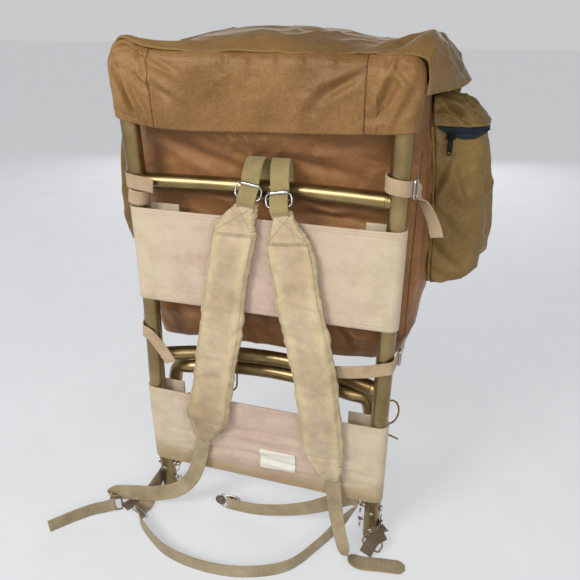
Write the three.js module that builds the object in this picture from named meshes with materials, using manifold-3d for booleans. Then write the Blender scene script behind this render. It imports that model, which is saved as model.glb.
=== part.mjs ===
// External-frame backpack: a bent tube frame, two laced back bands, padded shoulder straps, a waist belt
// and a cloth bag with lid and side pockets. Millimetres, Z up. X runs across the back with left at -X,
// Y runs from the shoulder straps (-Y) to the bag (+Y), and heights are measured from the feet.
import * as THREE from 'three';
import { mergeVertices } from 'three/addons/utils/BufferGeometryUtils.js';
import Module from 'manifold-3d';

const wasm = await Module();
wasm.setup();

// Clearances, cloth and webbing
const GAP = 0.3;
const CLOTH = 2;
const WEB_W = 25;
const WEB_T = 2;
const CORD_R = 1.5;

// Frame tubes
const FRAME_HALF = 178.5;
const UPRIGHT_R = 12.5;
const UPRIGHT_BORE_R = 10.5;
const UPRIGHT_TOP = 716;
const BAR_R = 11;
const PLUG_H = 3;
const PLUG_R = 13.2;
const PLUG_STEM_H = 16;
const UPPER_BAR = { z: 557, bow: 13.5 };
const LOWER_BAR = { z: 279, bow: 42 };
const HOOP = { z: 255, bow: 42, half: 161, legY: 20.6, cornerX: 128, footZ: 54 };
const UPRIGHT_SIDE = [
  { z: 0, y: -3 },
  { z: 40, y: -3.4 },
  { z: 90, y: -6.5 },
  { z: 150, y: -8 },
  { z: 230, y: -7 },
  { z: 300, y: -2 },
  { z: 400, y: 3 },
  { z: 500, y: 4 },
  { z: 600, y: 1 },
  { z: 720, y: -4 },
];

// Clevis pins through the feet and their split rings
const PIN_R = 3;
const PIN_HEAD_R = 5.5;
const PIN_HEAD_T = 2;
const PIN_TIP = 9;
const PIN_HOLE_R = 2;
const RING_R = 8;
const RING_WIRE_R = 0.9;
const PINS = [
  { label: 'upper', z: 62, straps: { left: 0, right: 0 } },
  { label: 'lower', z: 30, straps: { left: 2, right: 1 } },
];

// Back bands
const BAND_R = UPRIGHT_R + 2.3 * GAP + CLOTH / 2;
const BANDS = [
  { name: 'back_band_upper', bottom: 382, top: 522, leftFlap: 52, rightFlap: 40 },
  { name: 'back_band_lower', bottom: 85, top: 228, leftFlap: 40, rightFlap: 48 },
];
const LABEL = { x: 28, z: 132, width: 58, height: 37, thickness: 1 };

// The part's origin is where the lower back band lies on the wearer
const ORIGIN = { y: -23.3, z: 160 };

// Bag body: rows from the bottom up with half width, front and rear depth and forward bulge in the middle
const BAG_CORNER = 4.6;
const BAG_BULGE_HALF = 140;
const BAG_ROWS = [
  { z: 291, half: 166, front: 60, rear: 168, bulge: 0 },
  { z: 295, half: 186, front: 45, rear: 186, bulge: 0 },
  { z: 312, half: 198, front: 36, rear: 199, bulge: 0 },
  { z: 365, half: 213, front: 31, rear: 207, bulge: 0 },
  { z: 440, half: 223, front: 30, rear: 212, bulge: 0 },
  { z: 545, half: 220, front: 32, rear: 212, bulge: 0 },
  { z: 604, half: 213, front: 31, rear: 209, bulge: 0 },
  { z: 626, half: 208, front: 18, rear: 207, bulge: 12 },
  { z: 650, half: 204, front: 9, rear: 205, bulge: 14 },
  { z: 690, half: 200, front: 9, rear: 202, bulge: 12 },
];

// Yoke: front panel with a sleeve over each upright, rolled over at the top, and its lower edge's height
// from left to right, where the sleeves hang higher on their outer sides
const YOKE_END_X = 158;
const YOKE_END_Y = 13;
const YOKE_ROWS = [
  { z: 638, reach: 17 },
  { z: 676, reach: 17.5 },
  { z: 712, reach: 16.5 },
  { z: 722, reach: 11 },
  { z: 727, reach: 3 },
];
const YOKE_HEM = [
  { x: -196, z: 645 },
  { x: -137, z: 632 },
  { x: 0, z: 635 },
  { x: 131, z: 639 },
  { x: 196, z: 644 },
];

// Lid: rows from the front edge over the top and down the rear, and the section across from left to right
// with a dome in the middle and a flap that stands out at the right; the front stays clear of the yoke,
// and the flap hangs straight down beside it, no further out than each row's flap
const LID_ROWS = [
  { y: -9, z: 730, left: 0.9, right: 0.97, skirt: 0.72, flap: 203 },
  { y: 7, z: 741, left: 0.9, right: 1, skirt: 0.9, flap: 207 },
  { y: 30, z: 747, left: 0.98, right: 1, skirt: 1, flap: 220 },
  { y: 75, z: 748, left: 1, right: 1, skirt: 1, flap: 240 },
  { y: 125, z: 748, left: 1, right: 1, skirt: 1, flap: 250 },
  { y: 170, z: 742, left: 1, right: 1, skirt: 0.95, flap: 250 },
  { y: 203, z: 724, left: 0.97, right: 0.97, skirt: 0.6, flap: 250 },
  { y: 217, z: 688, left: 0.95, right: 0.95, skirt: 0.2, flap: 250 },
  { y: 220, z: 612, left: 0.93, right: 0.93, skirt: 0, flap: 250 },
];
const LID_ACROSS = [
  { x: -211, drop: 66 },
  { x: -209, drop: 56 },
  { x: -202, drop: 45 },
  { x: -187, drop: 37 },
  { x: -168, drop: 31 },
  { x: -140, drop: 23 },
  { x: -100, drop: 11 },
  { x: -50, drop: 3 },
  { x: 0, drop: 0 },
  { x: 60, drop: 2 },
  { x: 112, drop: 9 },
  { x: 146, drop: 16 },
  { x: 168, drop: 9 },
  { x: 188, drop: 1 },
  { x: 206, drop: 6 },
  { x: 224, drop: 30 },
  { x: 236, drop: 50 },
  { x: 244, drop: 62 },
];
const LID_FRONT = { y: 10, rightX: 200, lowest: 729.2 };
const LID_PEAK = { x: -187, y: 6, lift: 17, across: 20, along: 24 };

// Side pockets and their rain flaps: rows with half depth along Y and reach out from the bag's side
const POCKET_MID_Y = 131;
const POCKET_SQUARE = 0.62;
const POCKET_SEAM_GAP = 2.2;
const POCKET_FILL = { left: 0.58, right: 1 };
const POCKET_ROWS = [
  { z: 416, half: 34, out: 3 },
  { z: 421, half: 47, out: 34 },
  { z: 431, half: 54, out: 56 },
  { z: 452, half: 57, out: 66 },
  { z: 520, half: 58, out: 67 },
  { z: 580, half: 57, out: 66 },
  { z: 604, half: 56, out: 64 },
  { z: 622, half: 55, out: 62 },
  { z: 636, half: 54, out: 61 },
  { z: 650, half: 51, out: 46 },
  { z: 660, half: 46, out: 24 },
  { z: 665, half: 40, out: 3 },
];
const FLAP_ROWS = [
  { z: 638, half: 60, out: 69 },
  { z: 652, half: 58, out: 56 },
  { z: 665, half: 52, out: 34 },
  { z: 674, half: 45, out: 14 },
  { z: 679, half: 38, out: 3 },
];
const ZIP = { bottom: 622, top: 636, starts: [0.02, 0.1], firstColumn: 1, lastColumn: 7, thickness: 1 };
const PULL = { turn: 0.17, z: 618, pinR: 1, length: 24, width: 6.5, thickness: 1.6, eye: 1.5, stand: 3.3 };

// Shoulder pads: rows from the top down along the strap with centre, front face depth and width
const PAD_T = 13;
const PAD_ROWS = {
  left: [
    { x: -9, z: 545.6, front: -25.5, width: 24 },
    { x: -19, z: 528, front: -25, width: 42 },
    { x: -30, z: 504, front: -25, width: 64 },
    { x: -37, z: 465, front: -25.3, width: 68 },
    { x: -47, z: 410, front: -26.3, width: 70 },
    { x: -58, z: 339, front: -32, width: 74 },
    { x: -70, z: 260, front: -38, width: 73 },
    { x: -82, z: 204, front: -39, width: 74 },
    { x: -88, z: 172, front: -38.5, width: 54 },
    { x: -95, z: 146, front: -38, width: 24 },
  ],
  right: [
    { x: 35, z: 541.5, front: -27, width: 24 },
    { x: 38, z: 520, front: -25.5, width: 44 },
    { x: 42, z: 494, front: -25.5, width: 64 },
    { x: 49, z: 465, front: -26, width: 70 },
    { x: 63, z: 393, front: -28, width: 71 },
    { x: 80, z: 327, front: -33, width: 72 },
    { x: 90, z: 270, front: -38, width: 70 },
    { x: 99, z: 190, front: -39, width: 70 },
    { x: 104, z: 164, front: -38.5, width: 62 },
    { x: 110, z: 146, front: -38, width: 46 },
    { x: 116, z: 128, front: -38, width: 26 },
  ],
};

// Upper webbing: a loop that stands over the upper bar, as offsets from the bar's centre line
const UPPER_LOOP = [
  { dy: -32.5, dz: 6 },
  { dy: -27, dz: 22 },
  { dy: -18, dz: 35 },
  { dy: -6, dz: 41 },
  { dy: 6, dz: 36 },
  { dy: 12.9, dz: 21 },
  { dy: 13.8, dz: 4 },
  { dy: 9.3, dz: -9.4 },
  { dy: 0, dz: -12.7 },
  { dy: -12, dz: -10.6 },
  { dy: -22, dz: -8 },
];
const UPPER_STRAPS = {
  left: { top: -5, buckle: -8, buckleZ: 561, stand: 3.6, splay: -0.16 },
  right: { top: 25, buckle: 33, buckleZ: 554, stand: 5.3, splay: 0.16 },
};
const UPPER_BUCKLE = { width: 35, height: 19, wire: 1.5 };

// Lower webbing, anchors and belt: centre points, and the direction across the strap at each
const LOWER_WEB = {
  left: [
    { at: [-92.5, -25.8, 158], across: [0.95, 0, -0.25] },
    { at: [-95.5, -27.2, 145], across: [0.95, 0, -0.3] },
    { at: [-102, -31, 114], across: [0.92, 0, -0.4] },
    { at: [-116, -38, 72], across: [0.75, -0.2, -0.62] },
    { at: [-143, -42, 42], across: [0.45, -0.35, -0.82] },
    { at: [-185, -48, 27], across: [0.12, -0.45, -0.88] },
    { at: [-226, -55, 24], across: [0, -0.4, -0.92] },
    { at: [-252, -61, 22], across: [0, -0.35, -0.94] },
    { at: [-259, -68, 19], across: [0, -0.2, -0.98] },
    { at: [-252, -73.4, 17.6], across: [0, -0.1, -1] },
    { at: [-244, -79, 16.8], across: [0.05, -0.1, -1] },
    { at: [-252, -86, 15.5], across: [0.05, 0, -1] },
    { at: [-275, -102, 15.5], across: [0.05, 0.05, -1] },
    { at: [-300, -127, 15], across: [0, 0.05, -1] },
    { at: [-321, -151, 14.5], across: [0, 0.05, -1] },
  ],
  right: [
    { at: [114.5, -26.1, 140], across: [0.97, 0, 0.25] },
    { at: [117, -27.3, 126], across: [0.97, 0, 0.2] },
    { at: [122, -33, 92], across: [0.97, -0.1, 0.18] },
    { at: [129, -40, 55], across: [0.95, -0.2, 0.2] },
    { at: [139, -50, 26], across: [0.9, -0.35, 0.22] },
    { at: [149, -62, 12.8], across: [0.8, -0.5, 0.3] },
    { at: [159, -66, 7.4], across: [0.4, -0.9, 0.05] },
    { at: [170, -66, 3.8], across: [0.12, -0.99, 0] },
    { at: [184, -64, 2.6], across: [0.08, -0.99, 0] },
    { at: [204, -60, 2.2], across: [0.05, -1, 0] },
    { at: [226, -57, 2.2], across: [0.02, -1, 0] },
    { at: [240, -55, 2.2], across: [0, -1, 0] },
  ],
};
const ANCHOR_WEB = {
  left: [
    { at: [-192.5, -3.3, 38], across: [0, 1, 0] },
    { at: [-192.5, -3.3, 18], across: [0, 1, 0] },
    { at: [-197, -6, 6], across: [-0.2, 0.95, 0] },
    { at: [-206, -17, 2.6], across: [-0.6, 0.78, 0] },
    { at: [-216, -38, 2.6], across: [-0.9, 0.42, 0] },
    { at: [-224, -57, 3.4], across: [-0.9, 0.4, 0] },
    { at: [-231.4, -72, 4.6], across: [-0.87, 0.5, 0] },
  ],
  right: [
    { at: [192.5, -3.3, 38], across: [0, 1, 0] },
    { at: [192.5, -3.3, 23], across: [0, 1, 0] },
    { at: [200, -9, 16], across: [-0.3, 0.9, 0.2] },
    { at: [198, -20, 21], across: [-0.75, 0.55, 0.3] },
    { at: [188, -31, 20], across: [-0.93, 0.3, 0.15] },
    { at: [182, -41, 13], across: [-0.95, 0.25, 0.1] },
    { at: [178, -49.5, 5.4], across: [-0.97, 0.2, 0] },
  ],
};
const ANCHOR_HOLE_Z = 30;
const LOWER_BUCKLES = {
  left: { at: [-241, -76.5, 17.2], alongX: [0.945, 0.326, 0], alongY: [0, 0, 1] },
  right: { at: [186, -33, 14], alongX: [-0.35, -0.75, -0.55], alongY: [0.93, -0.3, -0.2] },
};
const LOWER_BUCKLE = { width: 17, height: 31, wire: 1.6 };
const BELT_W = 25;
const BELT_LONG = [
  { at: [-194.9, 7, 30], across: [0, 0, -1] },
  { at: [-194.9, -10, 29.5], across: [0, 0, -1] },
  { at: [-196.3, -26, 25], across: [0.2, 0.3, -0.95] },
  { at: [-198, -43, 13.4], across: [0.8, 0.3, -0.5] },
  { at: [-198, -61, 7], across: [0.97, 0, -0.2] },
  { at: [-197, -75, 14.4], across: [0.85, 0, -0.5] },
  { at: [-187, -95, 13.6], across: [0, 0, -1] },
  { at: [-164, -113, 13.2], across: [0, 0, -1] },
  { at: [-120, -137, 13.2], across: [0, 0, -1] },
  { at: [-55, -147, 13.2], across: [0, 0, -1] },
  { at: [10, -139, 13.2], across: [0, 0, -1] },
  { at: [70, -110, 13.2], across: [0, 0, -1] },
  { at: [103, -62, 13.6], across: [0, 0, -1] },
  { at: [125, -27, 21], across: [0.2, 0.12, -1] },
  { at: [150, -7, 52], across: [0.3, 0.85, -0.45] },
];
const BELT_SHORT = [
  { at: [156.5, -4.2, 66], across: [0.1, 0.9, 0.3] },
  { at: [147, -6, 73], across: [0.35, 0.65, 0.65] },
  { at: [118, -13, 62], across: [0.3, 0.3, 0.9] },
  { at: [80, -17, 42], across: [0.2, 0.1, 1] },
  { at: [30, -19, 23], across: [0.1, 0, 1] },
  { at: [-12, -22, 16], across: [0, 0, 1] },
  { at: [-40, -24, 16.5], across: [0, 0, 1] },
  { at: [-58, -23.4, 16.5], across: [0, 0, 1] },
  { at: [-64, -20, 16.5], across: [0, 0, 1] },
  { at: [-58, -16.6, 16.5], across: [0, 0, 1] },
  { at: [-46, -16.4, 16.5], across: [0, 0, 1] },
];
const BELT_BUCKLE = { x: -57, y: -20, z: 16.5, width: 34, height: 30, wire: 1.5, barX: -60 };
const BELT_PLATE = { offset: 1.5, radius: 9.3, thickness: 2, eyeR: 2.1, eyeWall: 1.4, barrel: 15 };
const BELT_STEPS = 34;
const BELT_KEEPER = { step: 13, width: 30.5, depth: 8, wire: 1.2 };

// Ties that hold the bag to the uprights
const TIE_W = 20;
const TIE_T = 1.8;
const TIES = {
  tie_upper_left: [
    { at: [-203, 44, 566], across: [0, 0, 1] },
    { at: [-197, 24, 564], across: [0, 0, 1] },
    { at: [-193, 4, 562], across: [0, 0, 1] },
    { at: [-188.8, -7.8, 560], across: [0, 0, 1] },
    { at: [-178.5, -11.8, 559], across: [0.08, 0, 1] },
    { at: [-163, -12.4, 557], across: [0.15, 0, 1] },
    { at: [-147, -12.4, 555], across: [0.3, 0, 1] },
  ],
  tie_upper_right: [
    { at: [177, 17, 583], across: [0, 0, 1] },
    { at: [166, 13, 583], across: [0, 0, 1] },
    { at: [161.5, 3, 582], across: [0, 0, 1] },
    { at: [166, -8.5, 580.5], across: [0, 0, 1] },
    { at: [178.5, -13.2, 579], across: [0, 0, 1] },
    { at: [190, -8, 577], across: [0, 0, 1] },
    { at: [194.5, 4, 575], across: [0, 0, 1] },
    { at: [199, 16, 570], across: [-0.1, 0, 1] },
    { at: [209, 24, 552], across: [-0.8, 0.3, 0.55] },
    { at: [222, 27, 526], across: [-0.85, 0.45, 0.3] },
    { at: [228, 26, 508], across: [-0.85, 0.45, 0.2] },
  ],
  tie_lower_left: [
    { at: [-199, 50, 333], across: [0, 0, 1] },
    { at: [-196, 26, 332], across: [0, 0, 1] },
    { at: [-193.4, 2, 329], across: [0, 0, 1] },
    { at: [-189, -12, 326], across: [0.1, 0, 1] },
    { at: [-177, -15, 321], across: [0.3, 0, 0.95] },
    { at: [-164, -17, 308], across: [0.65, 0, 0.75] },
    { at: [-152, -17, 290], across: [0.85, 0, 0.5] },
    { at: [-146, -16, 278], across: [0.88, 0, 0.45] },
  ],
  tie_lower_right: [
    { at: [199, 50, 335], across: [0, 0, 1] },
    { at: [197, 26, 334], across: [0, 0, 1] },
    { at: [193.6, 2, 331], across: [0, 0, 1] },
    { at: [189.5, -12.5, 328], across: [0, 0, 1] },
    { at: [177, -15, 324], across: [-0.05, 0, 1] },
    { at: [160, -16.5, 319], across: [-0.15, 0, 1] },
    { at: [138, -17, 314], across: [-0.2, 0, 1] },
    { at: [114, -17, 310], across: [-0.2, 0, 1] },
  ],
};
const TIE_BUCKLES = [
  { name: 'tie_buckle_upper_right', at: [197.9, 4, 575], alongX: [0.33, 1, 0], alongY: [0, 0, 1] },
  { name: 'tie_buckle_lower_right', at: [197.8, 12, 332], alongX: [0.12, 1, 0], alongY: [0, 0, 1] },
  { name: 'tie_buckle_upper_left', at: [-198.2, 14, 563], alongX: [-0.25, 1, 0], alongY: [0, 0, 1] },
  { name: 'tie_buckle_lower_left', at: [-197.6, 12, 330.5], alongX: [-0.12, 1, 0], alongY: [0, 0, 1] },
];
const TIE_BUCKLE = { width: 11, height: 25, wire: 1.3 };

// Cords: the lacing behind the lower band, tied to the lower bar, and its free end at the right upright
const LACING_ROUTE = [
  [-52, 22.2, 288],
  [-52, 20.4, 268],
  [-51.5, 18.5, 245],
  [-54, 15, 226],
  [-90, 10.4, 210],
  [-134, 9.8, 204],
  [-147, 9.8, 196],
  [-134, 9.8, 187],
  [0, 10, 172],
  [124, 9.8, 157],
  [140, 9.8, 148],
  [124, 9.8, 139],
  [0, 10, 126],
  [-134, 10, 112],
  [-147, 10, 103],
];
const LACE_END_ROUTE = [
  [174, 9.8, 206],
  [175.5, 10.6, 216],
  [179, 13, 230],
  [184, 17, 243],
  [190, 20, 251],
  [197, 21.5, 249],
  [202, 22, 239],
  [202, 22, 226],
  [197.5, 22, 214],
  [190, 22, 206],
  [183, 22, 199.5],
  [181.5, 21.5, 193.5],
  [187, 20.5, 189],
  [196, 19, 187],
  [206, 18, 184.5],
];

// Finishes
const LOOKS = {
  bronzeTube: { color: 0x84734a, roughness: 0.35, metalness: 0.8 },
  steel: { color: 0xb9b8b2, roughness: 0.3, metalness: 0.9 },
  plastic: { color: 0x2b2a28, roughness: 0.5, metalness: 0 },
  nylon: { color: 0x96693f, roughness: 0.7, metalness: 0 },
  bandCloth: { color: 0xd4c5ad, roughness: 0.85, metalness: 0 },
  padCloth: { color: 0xc3b08c, roughness: 0.85, metalness: 0 },
  webbing: { color: 0xa38f68, roughness: 0.85, metalness: 0 },
  darkWebbing: { color: 0x645646, roughness: 0.85, metalness: 0 },
  tie: { color: 0xbfa789, roughness: 0.85, metalness: 0 },
  zip: { color: 0x1d2733, roughness: 0.6, metalness: 0 },
  patch: { color: 0xe6e0d2, roughness: 0.8, metalness: 0 },
  cord: { color: 0x7f5a2c, roughness: 0.8, metalness: 0 },
};

const SIDES = [
  { side: 'left', s: -1 },
  { side: 'right', s: 1 },
];
const pack = new THREE.Group();
pack.position.set(0, -ORIGIN.y, -ORIGIN.z);

// Add one named piece to the pack
function addPiece(name, geometry, look) {
  const mesh = new THREE.Mesh(geometry, new THREE.MeshStandardMaterial(LOOKS[look]));
  mesh.name = name;
  pack.add(mesh);
}

// Smooth value of one column of a table whose rows are in rising order of the key column
function along(table, key, at, column) {
  const last = table.length - 1;
  let i = 0;
  while (i < last - 1 && table[i + 1][key] <= at) i += 1;
  const slopeAt = (j) => {
    const before = table[Math.max(j - 1, 0)];
    const after = table[Math.min(j + 1, last)];
    return (after[column] - before[column]) / (after[key] - before[key]);
  };
  const step = table[i + 1][key] - table[i][key];
  const t = THREE.MathUtils.clamp((at - table[i][key]) / step, 0, 1);
  const rise = t * t * (3 - 2 * t);
  const level = table[i][column] * (1 - rise) + table[i + 1][column] * rise;
  const lean = slopeAt(i) * t * (1 - t) * (1 - t) - slopeAt(i + 1) * t * t * (1 - t);
  return level + step * lean;
}

const uprightY = (z) => along(UPRIGHT_SIDE, 'z', z, 'y');
const vector = ([x, y, z]) => new THREE.Vector3(x, y, z);
const signedPower = (value, power) => Math.sign(value) * Math.abs(value) ** power;

// Evenly spaced numbers from first to last
function spread(first, last, count) {
  return Array.from({ length: count }, (_, i) => first + ((last - first) * i) / (count - 1));
}

// Closed geometry from points and triangles, turned so that its faces point outwards
function closedGeometry(points, triangles) {
  let volume = 0;
  for (const [a, b, c] of triangles) {
    volume += points[a].dot(new THREE.Vector3().crossVectors(points[b], points[c]));
  }
  const geometry = new THREE.BufferGeometry().setFromPoints(points);
  geometry.setIndex(triangles.flatMap(([a, b, c]) => (volume > 0 ? [a, b, c] : [a, c, b])));
  return geometry;
}

// Unit normals of a grid of points, whose rows may close on themselves
function gridNormals(grid, closed) {
  const rows = grid.length;
  const columns = grid[0].length;
  return grid.map((row, i) => row.map((_, j) => {
    const up = grid[Math.min(i + 1, rows - 1)][j].clone().sub(grid[Math.max(i - 1, 0)][j]);
    const next = closed ? (j + 1) % columns : Math.min(j + 1, columns - 1);
    const back = closed ? (j + columns - 1) % columns : Math.max(j - 1, 0);
    return up.cross(grid[i][next].clone().sub(grid[i][back])).normalize();
  }));
}

// Two triangles for a four-cornered face
const quad = (a, b, c, d) => [[a, b, c], [a, c, d]];

// A sheet of even thickness about a grid of middle points
function thickSheet(grid, thickness) {
  const rows = grid.length;
  const columns = grid[0].length;
  const normals = gridNormals(grid, false);
  const points = [];
  for (const half of [thickness / 2, -thickness / 2]) {
    const moved = (p, i, j) => p.clone().addScaledVector(normals[i][j], half);
    grid.forEach((row, i) => points.push(...row.map((p, j) => moved(p, i, j))));
  }
  const top = (i, j) => i * columns + j;
  const under = (i, j) => rows * columns + top(i, j);
  const triangles = [];
  const lastRow = rows - 1;
  const lastColumn = columns - 1;
  for (let i = 0; i < lastRow; i += 1) {
    for (let j = 0; j < lastColumn; j += 1) {
      triangles.push(...quad(top(i, j), top(i + 1, j), top(i + 1, j + 1), top(i, j + 1)));
      triangles.push(...quad(under(i, j), under(i, j + 1), under(i + 1, j + 1), under(i + 1, j)));
    }
    triangles.push(...quad(under(i, 0), under(i + 1, 0), top(i + 1, 0), top(i, 0)));
    triangles.push(...quad(top(i, lastColumn), top(i + 1, lastColumn), under(i + 1, lastColumn),
      under(i, lastColumn)));
  }
  for (let j = 0; j < lastColumn; j += 1) {
    triangles.push(...quad(top(0, j), top(0, j + 1), under(0, j + 1), under(0, j)));
    triangles.push(...quad(under(lastRow, j), under(lastRow, j + 1), top(lastRow, j + 1), top(lastRow, j)));
  }
  return closedGeometry(points, triangles);
}

// Faces of the wall between closed rings that are stored one after the other
function ringWalls(ringCount, sides, loop) {
  const triangles = [];
  for (let i = 0; i < (loop ? ringCount : ringCount - 1); i += 1) {
    const next = (i + 1) % ringCount;
    for (let j = 0; j < sides; j += 1) {
      const k = (j + 1) % sides;
      triangles.push(...quad(i * sides + j, i * sides + k, next * sides + k, next * sides + j));
    }
  }
  return triangles;
}

function centreOf(ring) {
  const sum = ring.reduce((total, p) => total.add(p), new THREE.Vector3());
  return sum.divideScalar(ring.length);
}

// A solid through closed rings, with a fan over each end
function loft(rings) {
  const sides = rings[0].length;
  const last = (rings.length - 1) * sides;
  const points = [...rings.flat(), centreOf(rings[0]), centreOf(rings[rings.length - 1])];
  const triangles = ringWalls(rings.length, sides, false);
  for (let j = 0; j < sides; j += 1) {
    const k = (j + 1) % sides;
    triangles.push([points.length - 2, k, j], [points.length - 1, last + j, last + k]);
  }
  return closedGeometry(points, triangles);
}

// A hollow vessel: closed at the first ring, open at the last, with a wall of even thickness
function vessel(rings, thickness) {
  const sides = rings[0].length;
  const normals = gridNormals(rings, true);
  const last = rings.length - 1;
  const outward = normals[last][0].dot(rings[last][0].clone().sub(centreOf(rings[0])));
  const inset = -Math.sign(outward) * thickness;
  const inner = rings.map((ring, i) => ring.map((p, j) => p.clone().addScaledVector(normals[i][j], inset)));
  const count = rings.length * sides;
  const points = [...rings.flat(), ...inner.flat(), centreOf(rings[0]), centreOf(inner[0])];
  points[points.length - 1].z += thickness;
  const walls = ringWalls(rings.length, sides, false);
  const triangles = [...walls, ...walls.map(([a, b, c]) => [a + count, c + count, b + count])];
  const rim = count - sides;
  for (let j = 0; j < sides; j += 1) {
    const k = (j + 1) % sides;
    triangles.push([2 * count, k, j], [2 * count + 1, count + j, count + k]);
    triangles.push(...quad(rim + j, rim + k, count + rim + k, count + rim + j));
  }
  return closedGeometry(points, triangles);
}

// Corners of a regular polygon
function polygon(radius, sides) {
  return spread(0, 2 * Math.PI, sides + 1).slice(0, sides)
    .map((turn) => new THREE.Vector2(radius * Math.cos(turn), radius * Math.sin(turn)));
}

// A tube or rod along a curve
function tube(curve, { radius, sides, steps, bore = 0 }) {
  const shape = new THREE.Shape(polygon(radius, sides));
  if (bore > 0) shape.holes.push(new THREE.Path(polygon(bore, 6)));
  return new THREE.ExtrudeGeometry(shape, { steps, extrudePath: curve, bevelEnabled: false });
}

// A closed wire through points in one plane, given by two directions
function wireLoop(outline, at, alongX, alongY, wire, sides) {
  const x = vector(alongX).normalize();
  const y = vector(alongY).addScaledVector(x, -vector(alongY).dot(x)).normalize();
  const normal = new THREE.Vector3().crossVectors(x, y);
  const place = (p) => vector(at).addScaledVector(x, p.x).addScaledVector(y, p.y);
  const count = outline.length;
  const rings = outline.map((p, i) => {
    const chord = outline[(i + 1) % count].clone().sub(outline[(i + count - 1) % count]).normalize();
    const outward = x.clone().multiplyScalar(chord.y).addScaledVector(y, -chord.x);
    return polygon(wire, sides)
      .map((q) => place(p).addScaledVector(outward, q.x).addScaledVector(normal, q.y));
  });
  return closedGeometry(rings.flat(), ringWalls(count, sides, true));
}

// Outline of a rectangle whose corners are cut
function cutRectangle(width, height, cut) {
  const [w, h] = [width / 2, height / 2];
  return [[w, -h + cut], [w, h - cut], [w - cut, h], [-w + cut, h], [-w, h - cut], [-w, -h + cut],
    [-w + cut, -h], [w - cut, -h]].map(([x, y]) => new THREE.Vector2(x, y));
}

// Middle of a strap and the directions along and across it, at one share of its rows
function strapAt(rows, share) {
  const centre = new THREE.CatmullRomCurve3(rows.map((row) => vector(row.at)), false, 'centripetal');
  const across = new THREE.CatmullRomCurve3(rows.map((row) => vector(row.across)), false, 'centripetal');
  const tangent = centre.getTangent(share);
  const wide = across.getPoint(share);
  wide.addScaledVector(tangent, -wide.dot(tangent)).normalize();
  return { middle: centre.getPoint(share), tangent, wide };
}

// A flat strap along points, turning with the direction across it
function strap(rows, width, thickness, steps) {
  const grid = spread(0, 1, steps + 1).map((share) => {
    const { middle, wide } = strapAt(rows, share);
    return [-width / 2, width / 2].map((off) => middle.clone().addScaledVector(wide, off));
  });
  return thickSheet(grid, thickness);
}

// Joining and cutting of closed solids
function solidOf(geometry) {
  const plain = geometry.clone();
  plain.deleteAttribute('normal');
  plain.deleteAttribute('uv');
  const merged = mergeVertices(plain, 1e-4);
  const vertProperties = new Float32Array(merged.attributes.position.array);
  const triVerts = new Uint32Array(merged.index.array);
  return new wasm.Manifold(new wasm.Mesh({ numProp: 3, vertProperties, triVerts }));
}

function geometryOf(solid) {
  const { vertProperties, triVerts } = solid.getMesh();
  const geometry = new THREE.BufferGeometry();
  geometry.setAttribute('position', new THREE.BufferAttribute(vertProperties, 3));
  geometry.setIndex(new THREE.BufferAttribute(triVerts, 1));
  return geometry;
}

function cut(geometry, ...tools) {
  return geometryOf(tools.reduce((solid, tool) => solid.subtract(solidOf(tool)), solidOf(geometry)));
}

function join(...geometries) {
  const [first, ...others] = geometries;
  return geometryOf(others.reduce((solid, more) => solid.add(solidOf(more)), solidOf(first)));
}

// A rod along X between two points of one line
function rodAlongX(fromX, toX, y, z, radius, sides) {
  const rod = new THREE.CylinderGeometry(radius, radius, Math.abs(toX - fromX), sides);
  rod.rotateZ(Math.PI / 2);
  rod.translate((fromX + toX) / 2, y, z);
  return rod;
}

// A rod along Z about a middle point
function rodAlongZ(x, y, z, radius, length, sides) {
  const rod = new THREE.CylinderGeometry(radius, radius, length, sides);
  rod.rotateX(Math.PI / 2);
  rod.translate(x, y, z);
  return rod;
}

// Frame tubes
function uprightCurve(s, fromZ) {
  const heights = spread(fromZ, UPRIGHT_TOP, 16);
  return new THREE.CatmullRomCurve3(heights.map((z) => new THREE.Vector3(s * FRAME_HALF, uprightY(z), z)));
}

// A little more than the upright, to shape the ends of the tubes that meet it
function uprightClearance(s) {
  return tube(uprightCurve(s, PLUG_H), { radius: UPRIGHT_R + GAP, sides: 10, steps: 13 });
}

// A rod a little thicker than a pin, to cut the holes that pins pass through
const pinHoleRod = (fromX, toX, z) => rodAlongX(fromX, toX, uprightY(z), z, PIN_R + 2 * GAP, 8);

function bowPoint(bar, x) {
  const ends = uprightY(bar.z);
  return new THREE.Vector3(x, ends + bar.bow * (1 - (x / FRAME_HALF) ** 2), bar.z);
}

function addUprights() {
  for (const { side, s } of SIDES) {
    const holes = PINS.map((pin) => pinHoleRod(s * (FRAME_HALF - 30), s * (FRAME_HALF + 30), pin.z));
    const size = { radius: UPRIGHT_R, sides: 10, steps: 13, bore: UPRIGHT_BORE_R };
    addPiece(`upright_${side}`, cut(tube(uprightCurve(s, PLUG_H), size), ...holes), 'bronzeTube');
    const profile = [[0, 0], [PLUG_R, 0], [PLUG_R, PLUG_H - GAP], [UPRIGHT_BORE_R - 1.8, PLUG_H - GAP],
      [UPRIGHT_BORE_R - 2.2, PLUG_STEM_H], [0, PLUG_STEM_H]].map(([r, z]) => new THREE.Vector2(r, z));
    const plug = new THREE.LatheGeometry(profile, 10);
    plug.rotateX(Math.PI / 2);
    plug.translate(s * FRAME_HALF, uprightY(0), 0);
    addPiece(`foot_plug_${side}`, plug, 'plastic');
  }
}

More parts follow.
